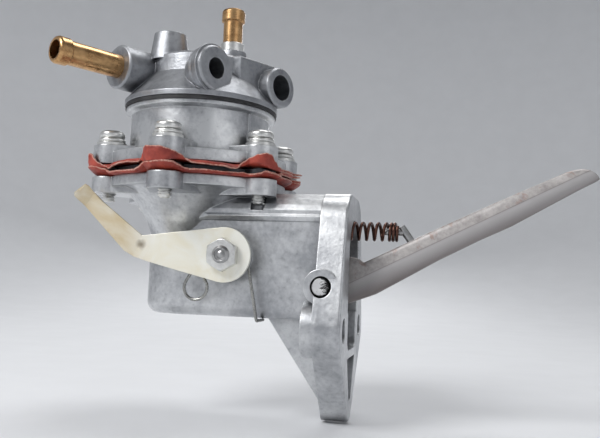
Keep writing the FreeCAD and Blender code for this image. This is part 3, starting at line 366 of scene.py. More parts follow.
def greyForging(name, v):  # speckled above the forging's parting line, smoother below it with painted shade that darkens toward the foot, dark with wear where the cam rubs
    material = bpy.data.materials.new(name)
    tree, shader = freshTree(material)
    where = objectPlace(tree)
    cloud = noiseOf(tree, where, 110.0, 5.0, 0.6, 0.4)
    specks = noiseOf(tree, where, 700.0, 3.0, 0.6)
    spots = noiseOf(tree, where, 240.0, 4.0, 0.65, 0.5)
    height = addNode(tree, "ShaderNodeVectorMath", operation="DOT_PRODUCT")
    height.inputs[1].default_value = v["line"]
    tree.links.new(where, height.inputs[0])
    height = calc(tree, "SUBTRACT", height.outputs["Value"], v["lineAt"])
    mixed = calc(tree, "ADD", calc(tree, "MULTIPLY", cloud, 0.6), calc(tree, "MULTIPLY", specks, 0.4))
    rough = toneRamp(tree, mixed, v["dark"], v["light"], 0.34, 0.60)
    rough = mixTones(tree, toneRamp(tree, spots, (0, 0, 0), (0.7, 0.7, 0.7), 0.56, 0.66), rough, v["brown"])
    # painted shade: below the parting line the colour runs from light at the line to dark at the foot, as the rounded
    # face turns down
    below = toneRamp(tree, calc(tree, "MULTIPLY", height, -110.0), v["smooth"], v["low"], 0.12, 0.80)
    below = mixTones(tree, calc(tree, "MULTIPLY", cloud, 0.35), below, v["dark"])
    above = calc(tree, "ADD", calc(tree, "MULTIPLY", height, 900.0), 0.5)
    side = toneRamp(tree, above, (0, 0, 0), (1, 1, 1), 0.1, 0.9)
    tone = mixTones(tree, side, below, rough)
    line = calc(tree, "ABSOLUTE", height)
    line = toneRamp(tree, calc(tree, "MULTIPLY", line, 2500.0), (0.45, 0.45, 0.45), (0, 0, 0), 0.2, 0.7)
    tone = mixTones(tree, line, tone, v["low"])
    out = addNode(tree, "ShaderNodeVectorMath", operation="DOT_PRODUCT")
    out.inputs[1].default_value = v["face"]
    tree.links.new(where, out.inputs[0])
    face = calc(tree, "SUBTRACT", out.outputs["Value"], v["faceAt"])
    wearAndEdgeHighlight = toneRamp(tree, calc(tree, "MULTIPLY", face, 600.0), (0, 0, 0), (0.85, 0.85, 0.85), 0.0, 0.9)
    tree.links.new(mixTones(tree, wearAndEdgeHighlight, tone, v["wearAndEdgeHighlight"]), shader.inputs["Base Color"])
    tree.links.new(spread(tree, specks, 0.36, 0.52), shader.inputs["Roughness"])
    shader.inputs["Metallic"].default_value = 0.3
    reliefOf(tree, shader, [(cloud, 0.00016), (specks, 0.00003)], 0.0004)
    return material


stripValues = {
    "cream": (0.86, 0.81, 0.65), "white": (0.92, 0.91, 0.83), "tanAndShade": (0.66, 0.53, 0.32), "paintedFoldShade": (0.16, 0.12, 0.08),
    "fold": (-0.0715, 0.0265),  # x and z of the painted shade at the fold
}


def creamStrip(name, v):  # passivated strip: nearly white in the middle, yellower in patches, tan toward the tab in its own colour and in painted shade, with painted shade at the fold
    material = bpy.data.materials.new(name)
    tree, shader = freshTree(material)
    where = objectPlace(tree)
    cloud = noiseOf(tree, where, 60.0, 4.0, 0.6, 0.6)
    specks = noiseOf(tree, where, 700.0, 3.0, 0.6)
    tone = toneRamp(tree, cloud, v["cream"], v["white"], 0.30, 0.52)
    split = tree.nodes.new("ShaderNodeSeparateXYZ")
    tree.links.new(where, split.inputs[0])
    # toward the tab the colour turns tan: partly the strip's own yellow passivation, partly painted shade of the tilted
    # arm
    left = calc(tree, "ADD", calc(tree, "MULTIPLY", split.outputs[0], -90.0), -6.0, True)
    tanAndShade = calc(tree, "MULTIPLY", left, toneRamp(tree, cloud, (1, 1, 1), (0.45, 0.45, 0.45), 0.40, 0.62))
    tone = mixTones(tree, tanAndShade, tone, v["tanAndShade"])
    # painted shade: a dark patch where the strip turns at the fold
    fold = addNode(tree, "ShaderNodeVectorMath", operation="SUBTRACT")
    fold.inputs[1].default_value = (v["fold"][0], 0, v["fold"][1])
    tree.links.new(where, fold.inputs[0])
    flat = addNode(tree, "ShaderNodeVectorMath", operation="MULTIPLY")
    flat.inputs[1].default_value = (1, 0, 1)
    tree.links.new(fold.outputs[0], flat.inputs[0])
    far = addNode(tree, "ShaderNodeVectorMath", operation="LENGTH")
    tree.links.new(flat.outputs[0], far.inputs[0])
    near = calc(tree, "MULTIPLY", far.outputs["Value"], 330.0)
    near = calc(tree, "ADD", near, calc(tree, "MULTIPLY", specks, 0.5))
    paintedFoldShade = toneRamp(tree, near, (0.75, 0.75, 0.75), (0, 0, 0), 0.35, 0.95)
    tree.links.new(mixTones(tree, paintedFoldShade, tone, v["paintedFoldShade"]), shader.inputs["Base Color"])
    tree.links.new(spread(tree, specks, 0.30, 0.44), shader.inputs["Roughness"])
    shader.inputs["Metallic"].default_value = 0.45
    reliefOf(tree, shader, [(cloud, 0.00012), (specks, 0.00001)], 0.0003)
    return material


pinValues = {"centre": (-0.0075, 0.0, 0.0142), "dark": (0.03, 0.03, 0.03), "bright": (0.72, 0.72, 0.72)}


def stakedPin(name, v):  # a bright smear of staked metal inside a dark ring
    material = bpy.data.materials.new(name)
    tree, shader = freshTree(material)
    where = objectPlace(tree)
    middle = addNode(tree, "ShaderNodeVectorMath", operation="SUBTRACT")
    middle.inputs[1].default_value = v["centre"]
    tree.links.new(where, middle.inputs[0])
    flat = addNode(tree, "ShaderNodeVectorMath", operation="MULTIPLY")
    flat.inputs[1].default_value = (1, 0, 1)
    tree.links.new(middle.outputs[0], flat.inputs[0])
    far = addNode(tree, "ShaderNodeVectorMath", operation="LENGTH")
    tree.links.new(flat.outputs[0], far.inputs[0])
    smear = noiseOf(tree, where, 330.0, 5.0, 0.7, 1.2)
    across = tree.nodes.new("ShaderNodeSeparateXYZ")
    tree.links.new(middle.outputs[0], across.inputs[0])
    pushed = calc(tree, "ADD", smear, calc(tree, "MULTIPLY", across.outputs[0], -62.0))
    inside = toneRamp(tree, pushed, v["dark"], v["bright"], 0.42, 0.50)
    ring = toneRamp(tree, calc(tree, "MULTIPLY", far.outputs["Value"], 250.0), (0, 0, 0), (1, 1, 1), 0.72, 0.76)
    tree.links.new(mixTones(tree, ring, inside, v["dark"]), shader.inputs["Base Color"])
    tree.links.new(spread(tree, smear, 0.22, 0.5), shader.inputs["Roughness"])
    shader.inputs["Metallic"].default_value = 1.0
    reliefOf(tree, shader, [(smear, 0.0003)])
    return material


castLower = castMetal("castLower", castingValues["lower"])
castUpper = castMetal("castUpper", castingValues["upper"])
castCover = castMetal("castCover", castingValues["cover"])
metals = {key: plainMetal(key + "Metal", v) for key, v in metalValues.items()}
brassInlet = drawnBrass("brassInlet", brassValues, math.radians(-31))
brassReturn = drawnBrass("brassReturn", brassValues, None)
clothFace = redCloth("clothFace", clothValues)
clothCut = redCloth("clothCut", clothValues, True)
sealRubber = blackRubber("sealRubber", sealValues)
leverForging = greyForging("leverForging", leverValues)
leverStrip = creamStrip("leverStrip", stripValues)
pinEnd = stakedPin("pinEnd", pinValues)

nodeFinish = {
    "lower_body": castLower, "upper_body": castUpper, "head_cover": castCover, "cover_seal": sealRubber,
    "cover_screw": metals["zinc"], "cover_washer": metals["copper"], "inlet_tube": brassInlet,
    "return_tube": brassReturn, "return_collar": metals["zinc"], "flange_screws": metals["zinc"],
    "spring_washers": metals["zinc"], "flat_washers": metals["zinc"], "fuel_sheet": clothFace, "oil_sheet": clothFace,
    "spacer_ring": metals["dull"], "inner_spacer": metals["dull"], "upper_plate": metals["steel"],
    "lower_plate": metals["steel"], "rod_nut": metals["zinc"], "pull_rod": metals["steel"],
    "rod_seal": sealRubber, "seal_cup": metals["steel"], "diaphragm_spring": metals["coil"], "pivot_pin": pinEnd,
    "rocker_arm": leverForging, "hub_bush": metals["bronze"], "spring_peg": metals["steel"],
    "rocker_spring": metals["coil"], "link_lever": metals["steel"], "hand_shaft": metals["steel"],
    "shaft_seal": sealRubber, "hand_nut": metals["zinc"], "hand_lever": leverStrip, "hand_spring": metals["wire"],
    "strainer": brassReturn, "inlet_seat": brassReturn, "outlet_seat": brassReturn, "inlet_cage": brassReturn,
    "outlet_cage": brassReturn, "inlet_disc": metals["steel"], "outlet_disc": metals["steel"],
}
for key, material in nodeFinish.items():
    nodes[key].data.materials.clear()
    nodes[key].data.materials.append(material)
print("materials made")


def makePiece(name, bm, body, materials, replaced=(), sharp=38.0, merge=1e-6):
    if merge:
        bmesh.ops.remove_doubles(bm, verts=bm.verts, dist=merge)
    bmesh.ops.recalc_face_normals(bm, faces=bm.faces)
    for face in bm.faces:
        face.smooth = True
    for edge in bm.edges:
        edge.smooth = edge.calc_face_angle(0.0) < math.radians(sharp)
    mesh = bpy.data.meshes.new(name)
    bm.to_mesh(mesh)
    bm.free()
    for material in materials:
        mesh.materials.append(material)
    obj = bpy.data.objects.new(name, mesh)
    bpy.context.scene.collection.objects.link(obj)
    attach(obj, body)
    if replaced:
        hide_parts(*replaced)
    return obj


def turnedShape(bm, profile, centre=(0, 0), steps=40):  # profile is (radius, height) in mm round an upright axis
    cx, cy = centre
    verts = [bm.verts.new(((cx + r) * mm, cy * mm, z * mm)) for r, z in profile]
    edges = [bm.edges.new(pair) for pair in zip(verts, verts[1:])]
    bmesh.ops.spin(bm, geom=verts + edges, cent=(cx * mm, cy * mm, 0), axis=(0, 0, 1), angle=math.tau, steps=steps,
                   use_merge=True)


def wireStart(bm, at, normal, radius, sides=14):  # the wire's round section, facing along normal
    turn = Vector((0, 0, 1)).rotation_difference(Vector(normal)).to_matrix().to_4x4()
    made = bmesh.ops.create_circle(bm, cap_ends=True, segments=sides, radius=radius * mm,
                                   matrix=Matrix.Translation(Vector(at) * mm) @ turn)
    verts = made["verts"]
    edges = list({e for v in verts for e in v.link_edges})
    return verts + edges


def wireTurn(bm, geom, centre, axis, degrees, rise=(0, 0, 0), perTurn=36):  # rise is the whole way moved, in mm
    steps = max(2, round(abs(degrees) / 360 * perTurn))
    made = bmesh.ops.spin(bm, geom=geom, cent=Vector(centre) * mm, axis=axis, dvec=Vector(rise) * mm / steps,
                          angle=math.radians(degrees), steps=steps, use_merge=False)
    return [g for g in made["geom_last"] if not isinstance(g, bmesh.types.BMFace)]


def wireGo(bm, geom, way):
    edges = [g for g in geom if isinstance(g, bmesh.types.BMEdge)]
    made = bmesh.ops.extrude_edge_only(bm, edges=edges)
    fresh = [g for g in made["geom"] if isinstance(g, bmesh.types.BMVert)]
    bmesh.ops.translate(bm, verts=fresh, vec=Vector(way) * mm)
    return fresh + [e for e in {e for v in fresh for e in v.link_edges} if all(v in fresh for v in e.verts)]


def wireEnd(bm, geom):
    bmesh.ops.contextual_create(bm, geom=[g for g in geom if isinstance(g, bmesh.types.BMEdge)])


screwValues = {
    "circle": 32.6, "first": 30.0, "shank": 2.5, "threadDeep": 0.55, "end": 42.0, "seat": 65.2,
    "headR": 4.6, "headH": 3.0, "pitch": 1.0, "threadTo": 57.0,
    "washerR": 4.85, "washerHole": 2.6, "washerZ": 63.5, "washerGap": 10.0,  # the gap is in degrees
}


def screwSpots(v):
    for i in range(6):
        t = math.radians(v["first"] + 60 * i)
        yield axisX + v["circle"] * math.cos(t), v["circle"] * math.sin(t), i


def flangeScrews(v):
    bm = bmesh.new()
    r, seat, top = v["headR"], v["seat"], v["seat"] + v["headH"]
    root = v["shank"] - v["threadDeep"]
    for x, y, i in screwSpots(v):
        head = [(0, v["end"]), (root - 0.5, v["end"]), (root, v["end"] + 0.5), (root, v["threadTo"]),
                (v["shank"], v["threadTo"] + 0.4), (v["shank"], seat), (r - 0.75, seat), (r - 0.35, seat + 0.12),
                (r - 0.08, seat + 0.45), (r, seat + 0.85), (r, seat + 1.45), (r - 0.10, seat + 1.85), (r - 0.38, seat + 2.25),
                (r - 0.85, seat + 2.58), (r - 1.5, seat + 2.80), (r - 2.4, top - 0.04), (1.6, top), (1.5, top - 0.9),
                (0, top - 1.0)]
        turnedShape(bm, head, (x, y), 40)
        ridge = v["pitch"] * 0.40  # the thread is a small three-sided ridge wound round the shank
        a = bm.verts.new(((x + root - 0.1) * mm, y * mm, (v["end"] + 0.3 - ridge) * mm))
        b = bm.verts.new(((x + v["shank"]) * mm, y * mm, (v["end"] + 0.3) * mm))
        c = bm.verts.new(((x + root - 0.1) * mm, y * mm, (v["end"] + 0.3 + ridge) * mm))
        geom = [a, b, c, bm.edges.new((a, b)), bm.edges.new((b, c)), bm.edges.new((c, a)), bm.faces.new((a, b, c))]
        turns = (v["threadTo"] - v["end"] - 0.2) / v["pitch"]
        steps = round(turns * 20)
        bmesh.ops.spin(bm, geom=geom, cent=(x * mm, y * mm, 0), axis=(0, 0, 1),
                       dvec=(0, 0, v["pitch"] * turns * mm / steps), angle=math.tau * turns, steps=steps,
                       use_merge=False)
    return makePiece("flangeScrews", bm, "housing", [metals["zinc"]], ("flange_screws",), sharp=50, merge=0)


def springWashers(v):  # each is one flattened turn whose two ends stand a little apart
    bm = bmesh.new()
    for x, y, i in screwSpots(v):
        inner, outer, z = v["washerHole"], v["washerR"], v["washerZ"]
        start = math.radians(200 + 67 * i)
        ring = [(inner, z + 0.08), (outer - 0.70, z + 0.01), (outer - 0.25, z + 0.14), (outer - 0.04, z + 0.42),
                (outer, z + 0.76), (outer - 0.04, z + 1.10), (outer - 0.25, z + 1.38), (outer - 0.70, z + 1.51),
                (inner, z + 1.44)]
        verts = [bm.verts.new(((x + r * math.cos(start)) * mm, (y + r * math.sin(start)) * mm, h * mm)) for r, h in ring]
        edges = [bm.edges.new((verts[k], verts[(k + 1) % len(verts)])) for k in range(len(verts))]
        face = bm.faces.new(verts)
        bmesh.ops.spin(bm, geom=verts + edges + [face], cent=(x * mm, y * mm, 0), axis=(0, 0, 1),
                       dvec=(0, 0, 0.16 * mm / 44), angle=math.radians(360 - v["washerGap"]), steps=44,
                       use_merge=False)
    return makePiece("springWashers", bm, "housing", [metals["zinc"]], ("spring_washers",), sharp=40, merge=0)


flangeScrews(screwValues)
springWashers(screwValues)
print("screws and washers made")


sheetValues = {
    "inner": 20.6, "round": 35.0, "earR": 7.35, "bolts": 32.6, "thick": 0.62, "flat": (0.0762, 0.0842),
    "middleR": 18.6, "hole": 3.2,
    "upper": {"middle": 54.98, "lip": 0.95, "keys": [
        # angle, height of the edge, height of the turned-up flap
        (0, 54.2, 0.3), (12, 54.3, 0.4), (20, 54.1, 0.6), (27, 54.0, 1.0), (33, 53.9, 0.4), (40, 54.2, 0),
        (52, 54.9, 0), (66, 54.5, 0), (78, 54.2, 0), (84, 53.9, 2.2), (90, 53.9, 3.0), (97, 54.1, 1.2),
        (104, 54.6, 0), (120, 54.9, 0), (134, 54.5, 0), (143, 53.8, 0.4), (150, 53.7, 1.8), (158, 54.2, 0.6),
        (168, 54.7, 0), (182, 54.9, 0), (194, 54.6, 0), (199, 54.6, 0.5), (203, 54.8, 1.2), (207, 54.8, 1.8),
        (209.5, 54.7, 1.9), (211.5, 54.6, 2.9), (213.5, 54.4, 4.5), (215, 54.3, 4.2), (217, 54.1, 2.7),
        (219, 53.8, 1.5), (222, 53.6, 0.5), (226, 53.8, 0), (233, 54.6, 0), (240, 54.9, 0), (247.6, 55.0, 0),
        (254.5, 54.9, 0), (256.6, 54.5, 0.8), (257.8, 54.2, 4.4), (262, 54.0, 4.8), (266, 53.95, 4.7),
        (270, 54.0, 4.4), (274, 54.2, 3.6), (277, 54.6, 2.5), (279.5, 55.0, 1.4), (282.5, 54.9, 0.4), (286, 54.65, 0),
        (292.8, 54.6, 0), (301, 54.35, 0), (308, 53.8, 0), (311, 53.6, 0.2), (314.7, 54.5, 1.2), (318.7, 55.5, 1.9),
        (321, 55.7, 2.9), (324.8, 54.8, 4.4), (327, 54.2, 4.5), (329.5, 53.9, 2.6), (332, 53.8, 1.3),
        (338, 53.9, 0.8), (346, 54.1, 0.4)]},
    "lower": {"middle": 51.02, "lip": -0.65, "keys": [
        (0, 52.6, 0), (12, 52.8, 0), (20, 53.2, 0.2), (27, 53.5, 0.4), (33, 53.2, 0.1), (40, 52.2, 0), (52, 51.2, 0),
        (66, 51.0, 0), (80, 52.2, 0), (90, 53.1, 0), (100, 52.2, 0), (112, 51.2, 0), (126, 51.4, 0), (140, 52.2, 0),
        (150, 53.0, 0), (160, 52.3, 0), (172, 51.4, 0), (186, 51.0, 0), (196, 51.6, 0), (200, 52.7, 0),
        (204, 53.5, 0.2), (208, 53.8, 0.3), (212, 53.8, 0.3), (215, 53.7, 0.2), (218, 53.3, 0), (221, 52.6, 0),
        (224, 51.7, 0), (228, 51.1, 0), (234, 51.0, 0), (245, 50.9, 0), (251.3, 50.75, 0), (254.7, 51.6, 0),
        (257.5, 53.0, 0), (266, 52.8, 0), (272, 53.1, 0), (276.5, 53.0, 0), (279.1, 52.2, 0), (281.5, 51.5, 0),
        (284.5, 51.2, 0), (293, 51.3, 0), (301, 51.1, 0), (311.3, 51.2, 0), (315.6, 51.4, 0), (319, 51.1, 0),
        (322, 51.5, 0), (325, 52.4, 0), (328, 52.0, 0), (335, 51.6, 0), (345, 52.3, 0)]},
    "torn": [  # loose strips of a ply beside the right-hand screw: angle, low edge, high edge, how far it stands out
        [(338, 54.6, 55.3, 0.15), (346, 54.9, 55.8, 0.35), (0, 55.2, 56.2, 0.5), (12, 55.9, 56.9, 0.6), (20, 56.5, 57.3, 0.6),
         (26, 57.1, 57.6, 0.9), (28, 57.5, 57.7, 1.1)],
        [(344, 53.5, 54.6, 0.2), (354, 53.7, 55.1, 0.5), (6, 54.0, 55.5, 0.7), (14, 54.7, 55.9, 0.8), (20, 55.4, 56.2, 0.8),
         (23, 56.0, 56.3, 1.0)]],
}


def betweenKeys(keys, angle, column, full=True):  # eased steps from key to key; full keys go all the way round
    if full:
        angle %= 360
    for i, key in enumerate(keys):
        after = keys[(i + 1) % len(keys)]
        end = after[0] if after[0] > key[0] else after[0] + 360
        if key[0] <= angle < end:
            t = (angle - key[0]) / (end - key[0])
            t = t * t * (3 - 2 * t)
            return key[column] * (1 - t) + after[column] * t
    return keys[-1][column]


def sheetEdge(angle, v):  # the cut outline: a circle with an ear round each screw
    reach = v["round"]
    for i in range(6):
        off = math.radians((angle - 30 - 60 * i + 180) % 360 - 180)
        side = v["bolts"] * math.sin(off)
        if abs(off) < 1 and abs(side) < v["earR"]:
            reach = max(reach, v["bolts"] * math.cos(off) + math.sqrt(v["earR"] * v["earR"] - side * side))
    return reach


def redSheet(name, v, part, seed, replaced=()):
    bm = bmesh.new()
    rings, lips = 12, 6
    inner = v["inner"]
    verts = [bm.verts.new(((axisX + inner + i) * mm, 0, part["middle"] * mm)) for i in range(rings + lips + 1)]
    edges = [bm.edges.new(pair) for pair in zip(verts, verts[1:])]
    bmesh.ops.spin(bm, geom=verts + edges, cent=(axisX * mm, 0, 0), axis=(0, 0, 1), angle=math.tau, steps=480,
                   use_merge=True)
    cut = bm.verts.layers.float.new("cutEdge")  # mm from the cut edge
    for vert in bm.verts:
        x, y = vert.co.x / mm - axisX, vert.co.y / mm
        angle = math.degrees(math.atan2(y, x)) % 360
        step = round(math.hypot(x, y) - inner)
        wave = noise.noise(Vector((x * 0.16, y * 0.16, seed)))
        ripple = noise.noise(Vector((x * 0.55, y * 0.55, seed + 3)))
        reach = sheetEdge(angle, v) + 0.22 * wave + 0.12 * ripple
        height = betweenKeys(part["keys"], angle, 1) + 0.10 * wave
        flap = betweenKeys(part["keys"], angle, 2)
        r = inner + (reach - inner) * (min(step, rings) / rings) ** 0.62
        bend = max(0.0, 1 - (reach - r) / 5.2)
        z = part["middle"] + (height - part["middle"]) * bend ** 2
        vert[cut] = max(flap, abs(part["lip"])) * min(1.0, (rings + lips - step) / lips) + max(0.0, reach - r)
        if step > rings:  # the edge itself turns down a little, or stands up where it is torn loose at a screw
            k = (step - rings) / lips
            fade = max(0.0, 1 - flap / 0.6)
            r += 0.30 * math.sin(k * math.pi / 2) + flap * (0.05 * k + 0.10 * ripple * k)
            z += k * (flap * (1 + 0.04 * ripple) - part["lip"] * fade)
        t = math.radians(angle)
        vert.co = ((axisX + r * math.cos(t)) * mm, r * math.sin(t) * mm, z * mm)
    area = sum(face.calc_area() for face in bm.faces)
    obj = makePiece(name, bm, "housing", [clothFace, clothCut], replaced, sharp=80)
    wall = obj.modifiers.new("thickness", "SOLIDIFY")
    wall.thickness = v["thick"] * mm
    wall.offset = 0
    wall.use_even_offset = False
    wall.material_offset_rim = 1
    return obj, area


def tornPly(name, v, keys, seed):  # a narrow strip that has come away from the edge and points up and outward
    bm = bmesh.new()
    first, last = keys[0][0], keys[-1][0] + 360
    rows = 4
    verts = [bm.verts.new(((axisX + v["round"]) * mm, 0, k * mm)) for k in range(rows + 1)]
    edges = [bm.edges.new(pair) for pair in zip(verts, verts[1:])]
    bmesh.ops.rotate(bm, verts=verts, cent=(axisX * mm, 0, 0),
                     matrix=Matrix.Rotation(math.radians(first), 3, "Z"))
    bmesh.ops.spin(bm, geom=verts + edges, cent=(axisX * mm, 0, 0), axis=(0, 0, 1), angle=math.radians(last - first),
                   steps=round((last - first) / 0.75), use_merge=False)
    cut = bm.verts.layers.float.new("cutEdge")
    unwound = [(a if a >= first else a + 360, low, high, out) for a, low, high, out in keys]
    for vert in bm.verts:
        angle = math.degrees(math.atan2(vert.co.y / mm, vert.co.x / mm - axisX)) % 360
        angle = min(max(angle if angle >= first - 1 else angle + 360, first), last - 0.001)
        k = round(vert.co.z / mm) / rows
        low, high, out = (betweenKeys(unwound, angle, column, False) for column in (1, 2, 3))
        t = math.radians(angle)
        r = sheetEdge(angle, v) + out * (0.6 + 0.4 * k) + 0.15 * noise.noise(Vector((angle * 0.2, k, seed)))
        vert.co = ((axisX + r * math.cos(t)) * mm, r * math.sin(t) * mm, (low + (high - low) * k) * mm)
        vert[cut] = (high - low) * min(k, 1 - k)
    obj = makePiece(name, bm, "housing", [clothFace, clothCut], sharp=80)
    wall = obj.modifiers.new("thickness", "SOLIDIFY")
    wall.thickness = v["thick"] * 0.7 * mm
    wall.offset = 0
    wall.material_offset_rim = 1
    return obj


def sheetMiddle(name, v, part):  # the part of a sheet that is gripped between the two plates and moves with them
    bm = bmesh.new()
    low, high = part["middle"] - v["thick"] / 2, part["middle"] + v["thick"] / 2
    profile = [(v["hole"], low), (v["middleR"] - 0.1, low), (v["middleR"], low + 0.1), (v["middleR"], high - 0.1),
               (v["middleR"] - 0.1, high), (v["hole"], high), (v["hole"], low)]
    turnedShape(bm, profile, (axisX, 0), 64)
    return makePiece(name, bm, "diaphragm", [clothFace], sharp=50)


def redSheets(v):
    torn = [tornPly("tornPly" + "AB"[k], v, keys, 5.0 + k) for k, keys in enumerate(v["torn"])]
    for name, key, node, rests, seed, strips in (("upperSheet", "upper", "fuel_sheet", "upper_body", 1.0, torn),
                                                 ("lowerSheet", "lower", "oil_sheet", "lower_body", 7.0, [])):
        sheet, area = redSheet(name, v, v[key], seed, (node,))
        gripped = sheetMiddle(name + "Middle", v, v[key])


redSheets(sheetValues)
print("sheets made")


rockerSpringValues = {
    "wire": 1.2, "coil": 2.95, "from": -12.35, "height": 34.7,
    "runs": [(1.0, 1.25), (8.35, 2.81), (2.5, 1.27)],  # turns and pitch: close at both ends, open between
}


def rockerSpring(v):
    bm = bmesh.new()
    geom = wireStart(bm, (v["from"], 0, v["height"] + v["coil"]), (0, 1, 0), v["wire"] / 2)
    for turns, pitch in v["runs"]:
        geom = wireTurn(bm, geom, (0, 0, v["height"]), (1, 0, 0), -360 * turns, (turns * pitch, 0, 0))
    wireEnd(bm, geom)
    return makePiece("rockerSpring", bm, "housing", [metals["coil"]], ("rocker_spring",), sharp=60, merge=0)


spring = rockerSpring(rockerSpringValues)
spring.parent = None
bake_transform(spring)

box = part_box("diaphragm_spring")
diaphragmSpringValues = {
    "wire": 1.8, "turns": 5.0, "coil": (box[1][0] - box[0][0]) / mm / 2 - 0.95,
    "low": box[0][2] / mm, "high": box[1][2] / mm,
}


def diaphragmSpring(v):
    bm = bmesh.new()
    rise = v["high"] - v["low"] - v["wire"] - 0.1
    geom = wireStart(bm, (axisX + v["coil"], 0, v["low"] + v["wire"] / 2 + 0.05), (0, 1, 0), v["wire"] / 2)
    geom = wireTurn(bm, geom, (axisX, 0, 0), (0, 0, 1), 360 * v["turns"], (0, 0, rise))
    wireEnd(bm, geom)
    obj = makePiece("diaphragmSpring", bm, "housing", [metals["coil"]], ("diaphragm_spring",), sharp=60,
                    merge=0)
    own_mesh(obj)


diaphragmSpring(diaphragmSpringValues)

valveSpringValues = {"wire": 0.6, "turns": 3.0, "coil": 2.2, "lift": 1.2}


def valveSpring(v, side):  # stands between the fixed cage and the disc
    low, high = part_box(side + "_valve_spring")
    x = (low[0] + high[0]) / 2 / mm
    bm = bmesh.new()
    rise = (high[2] - low[2]) / mm - v["wire"] - 0.04
    geom = wireStart(bm, (x + v["coil"], 0, low[2] / mm + v["wire"] / 2 + 0.02), (0, 1, 0), v["wire"] / 2)
    geom = wireTurn(bm, geom, (x, 0, 0), (0, 0, 1), 360 * v["turns"], (0, 0, rise))
    wireEnd(bm, geom)
    obj = makePiece(side + "ValveSpring", bm, "housing", [metals["wire"]], (side + "_valve_spring",), sharp=60,
                    merge=0)
    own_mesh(obj)


valveSpring(valveSpringValues, "inlet")
valveSpring(valveSpringValues, "outlet")

handSpringValues = {
    "shaft": (-41.4, 23.8), "coil": 7.1, "wire": 1.1, "inner": -21.05, "outer": -22.45,
    "eye": (-51.5, 12.3), "eyeR": 4.15, "footX": -29.8, "footZ": 1.9, "hook": 8.2,
}


def handSpring(v):  # the coil and its foot stay on the casting; the arm and eye swing with the lever
    hx, hz = v["shaft"]
    ex, ez = v["eye"]
    fx, fz = v["footX"] - hx, v["footZ"] - hz
    leave = math.degrees(math.atan2(fz, fx) + math.acos(v["coil"] / math.hypot(fx, fz)))
    lean = math.acos((v["coil"] - v["eyeR"]) / math.hypot(ex - hx, ez - hz))
    turn = math.degrees(math.atan2(ez - hz, ex - hx) - lean) % 360

    def on(cx, cz, radius, degrees, y):
        t = math.radians(degrees)
        return Vector((cx + radius * math.cos(t), y, cz + radius * math.sin(t)))

    bm = bmesh.new()
    touch = on(hx, hz, v["coil"], leave, v["inner"])
    foot = Vector((v["footX"], v["inner"], v["footZ"]))
    way = touch - foot
    geom = wireStart(bm, foot + Vector((0, v["hook"] + 0.9, 0)), (0, -1, 0), v["wire"] / 2)
    geom = wireGo(bm, geom, (0, -v["hook"], 0))
    side = way.normalized()
    bendAxis = Vector((0, -1, 0)).cross(side).normalized()
    geom = wireTurn(bm, geom, foot + Vector((0, 0.9, 0)) + side * 0.9, bendAxis, 90, perTurn=24)
    geom = wireGo(bm, geom, side * (way.length - 0.9))
    geom = wireTurn(bm, geom, (hx, 0, hz), (0, -1, 0), turn - leave + 360, (0, v["outer"] - v["inner"], 0), perTurn=48)
    wireEnd(bm, geom)
    makePiece("handSpringCoil", bm, "housing", [metals["wire"]], ("hand_spring",), sharp=60, merge=0)

    bm = bmesh.new()
    start = turn - 70
    t = math.radians(start)
    geom = wireStart(bm, on(hx, hz, v["coil"], start, v["outer"]), (-math.sin(t), 0, math.cos(t)), v["wire"] / 2 - 0.02)
    geom = wireTurn(bm, geom, (hx, 0, hz), (0, -1, 0), 70, perTurn=48)
    arm = on(ex, ez, v["eyeR"], turn, v["outer"]) - on(hx, hz, v["coil"], turn, v["outer"])
    geom = wireGo(bm, geom, arm)
    geom = wireTurn(bm, geom, (ex, 0, ez), (0, -1, 0), 262, perTurn=40)
    wireEnd(bm, geom)
    makePiece("handSpringEye", bm, "primer", [metals["wire"]], sharp=60, merge=0)


handSpring(handSpringValues)
print("springs made")


rockerValues = {
    "voxel": 0.42, "smooth": 0.6, "times": 14,
    "top": (30.5, 0.480, 18.0), "foot": (18.6, 0.556, 19.0),  # the edges in the side view: height, slope, start
    "line": 0.2, "from": (6.0, 14.0),
}


def rockerForging(v):
    bm = bmesh.new()
    bm.from_mesh(nodes["rocker_arm"].data)
    bmesh.ops.remove_doubles(bm, verts=bm.verts, dist=1e-6)
    mesh = bpy.data.meshes.new("rockerBlank")
    bm.to_mesh(mesh)
    bm.free()
    blank = bpy.data.objects.new("rockerBlank", mesh)
    bpy.context.scene.collection.objects.link(blank)
    skin = blank.modifiers.new("skin", "REMESH")
    skin.mode = "VOXEL"
    skin.voxel_size = v["voxel"] * mm
    soft = blank.modifiers.new("soft", "SMOOTH")
    soft.factor = v["smooth"]
    soft.iterations = v["times"]
    done = bpy.data.meshes.new_from_object(blank.evaluated_get(bpy.context.evaluated_depsgraph_get()))
    bpy.data.objects.remove(blank)
    bm = bmesh.new()
    bm.from_mesh(done)
    for vert in bm.verts:  # widest at the parting line, drawn in a little above it and rounded below it
        x, z = vert.co.x / mm, vert.co.z / mm
        high, low = (at + slope * (x - start) for at, slope, start in (v["top"], v["foot"]))
        t = min(1.0, max(-1.0, (z - (high + low) / 2) / ((high - low) / 2)))
        if t > v["line"]:
            wide = 1 - 0.20 * (t - v["line"]) / (1 - v["line"])
        else:
            wide = math.sqrt(1 - 0.72 * ((v["line"] - t) / (1 + v["line"])) ** 2)
        begun = min(1.0, max(0.0, (x - v["from"][0]) / (v["from"][1] - v["from"][0])))
        vert.co.y *= 1 + (wide - 1) * begun
    return makePiece("rockerForging", bm, "rocker", [leverForging], ("rocker_arm",), sharp=60)


rockerForging(rockerValues)
print("rocker lever made")


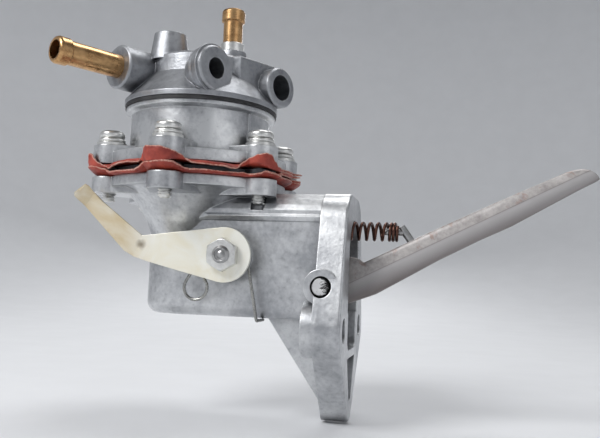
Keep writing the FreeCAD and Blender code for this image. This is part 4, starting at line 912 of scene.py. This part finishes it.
def makeStage(v):
    bm = bmesh.new()
    profile = [(0.0, 0.0), (0.55, 0.0), (0.75, 0.010), (0.92, 0.050), (1.06, 0.13), (1.17, 0.25), (1.25, 0.42),
               (1.30, 0.70), (1.32, 1.10)]
    verts = [bm.verts.new((r, 0, v["floorHeight"] + z)) for r, z in profile]
    edges = [bm.edges.new(pair) for pair in zip(verts, verts[1:])]
    bmesh.ops.spin(bm, geom=verts + edges, cent=(0, 0, 0), axis=(0, 0, 1), angle=math.tau, steps=72, use_merge=True)
    bmesh.ops.remove_doubles(bm, verts=bm.verts, dist=1e-5)
    bmesh.ops.recalc_face_normals(bm, faces=bm.faces)
    for face in bm.faces:
        face.smooth = True
    mesh = bpy.data.meshes.new("studioFloor")
    bm.to_mesh(mesh)
    bm.free()
    obj = bpy.data.objects.new("studioFloor", mesh)
    bpy.context.scene.collection.objects.link(obj)
    bend = obj.modifiers.new("round", "SUBSURF")
    bend.levels = bend.render_levels = 1
    material = bpy.data.materials.new("studioPaper")
    tree, shader = freshTree(material)
    paper = noiseOf(tree, objectPlace(tree), 30.0, 3.0)
    c = v["floorColour"]
    tone = toneRamp(tree, paper, tuple(x * 0.985 for x in c), tuple(min(1, x * 1.01) for x in c))
    tree.links.new(tone, shader.inputs["Base Color"])
    shader.inputs["Roughness"].default_value = 0.9
    mesh.materials.append(material)
    obj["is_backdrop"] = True
    for name, place, aim, size, watts in v["lamps"]:
        lamp = bpy.data.lights.new(name, "AREA")
        lamp.shape = "DISK"
        lamp.size = size
        lamp.energy = watts
        light = bpy.data.objects.new(name, lamp)
        bpy.context.scene.collection.objects.link(light)
        light.location = place
        light.rotation_euler = (Vector(aim) - Vector(place)).to_track_quat("-Z", "Y").to_euler()
    world = bpy.data.worlds.new("studioWorld")
    bpy.context.scene.world = world
    world.use_nodes = True
    back = world.node_tree.nodes["Background"]
    back.inputs[0].default_value = (*v["worldColour"], 1)
    back.inputs[1].default_value = v["worldStrength"]


placeCamera(cameraValues)
makeStage(stageValues)
bpy.context.scene.view_settings.view_transform = "Standard"
print("stage made")

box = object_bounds()
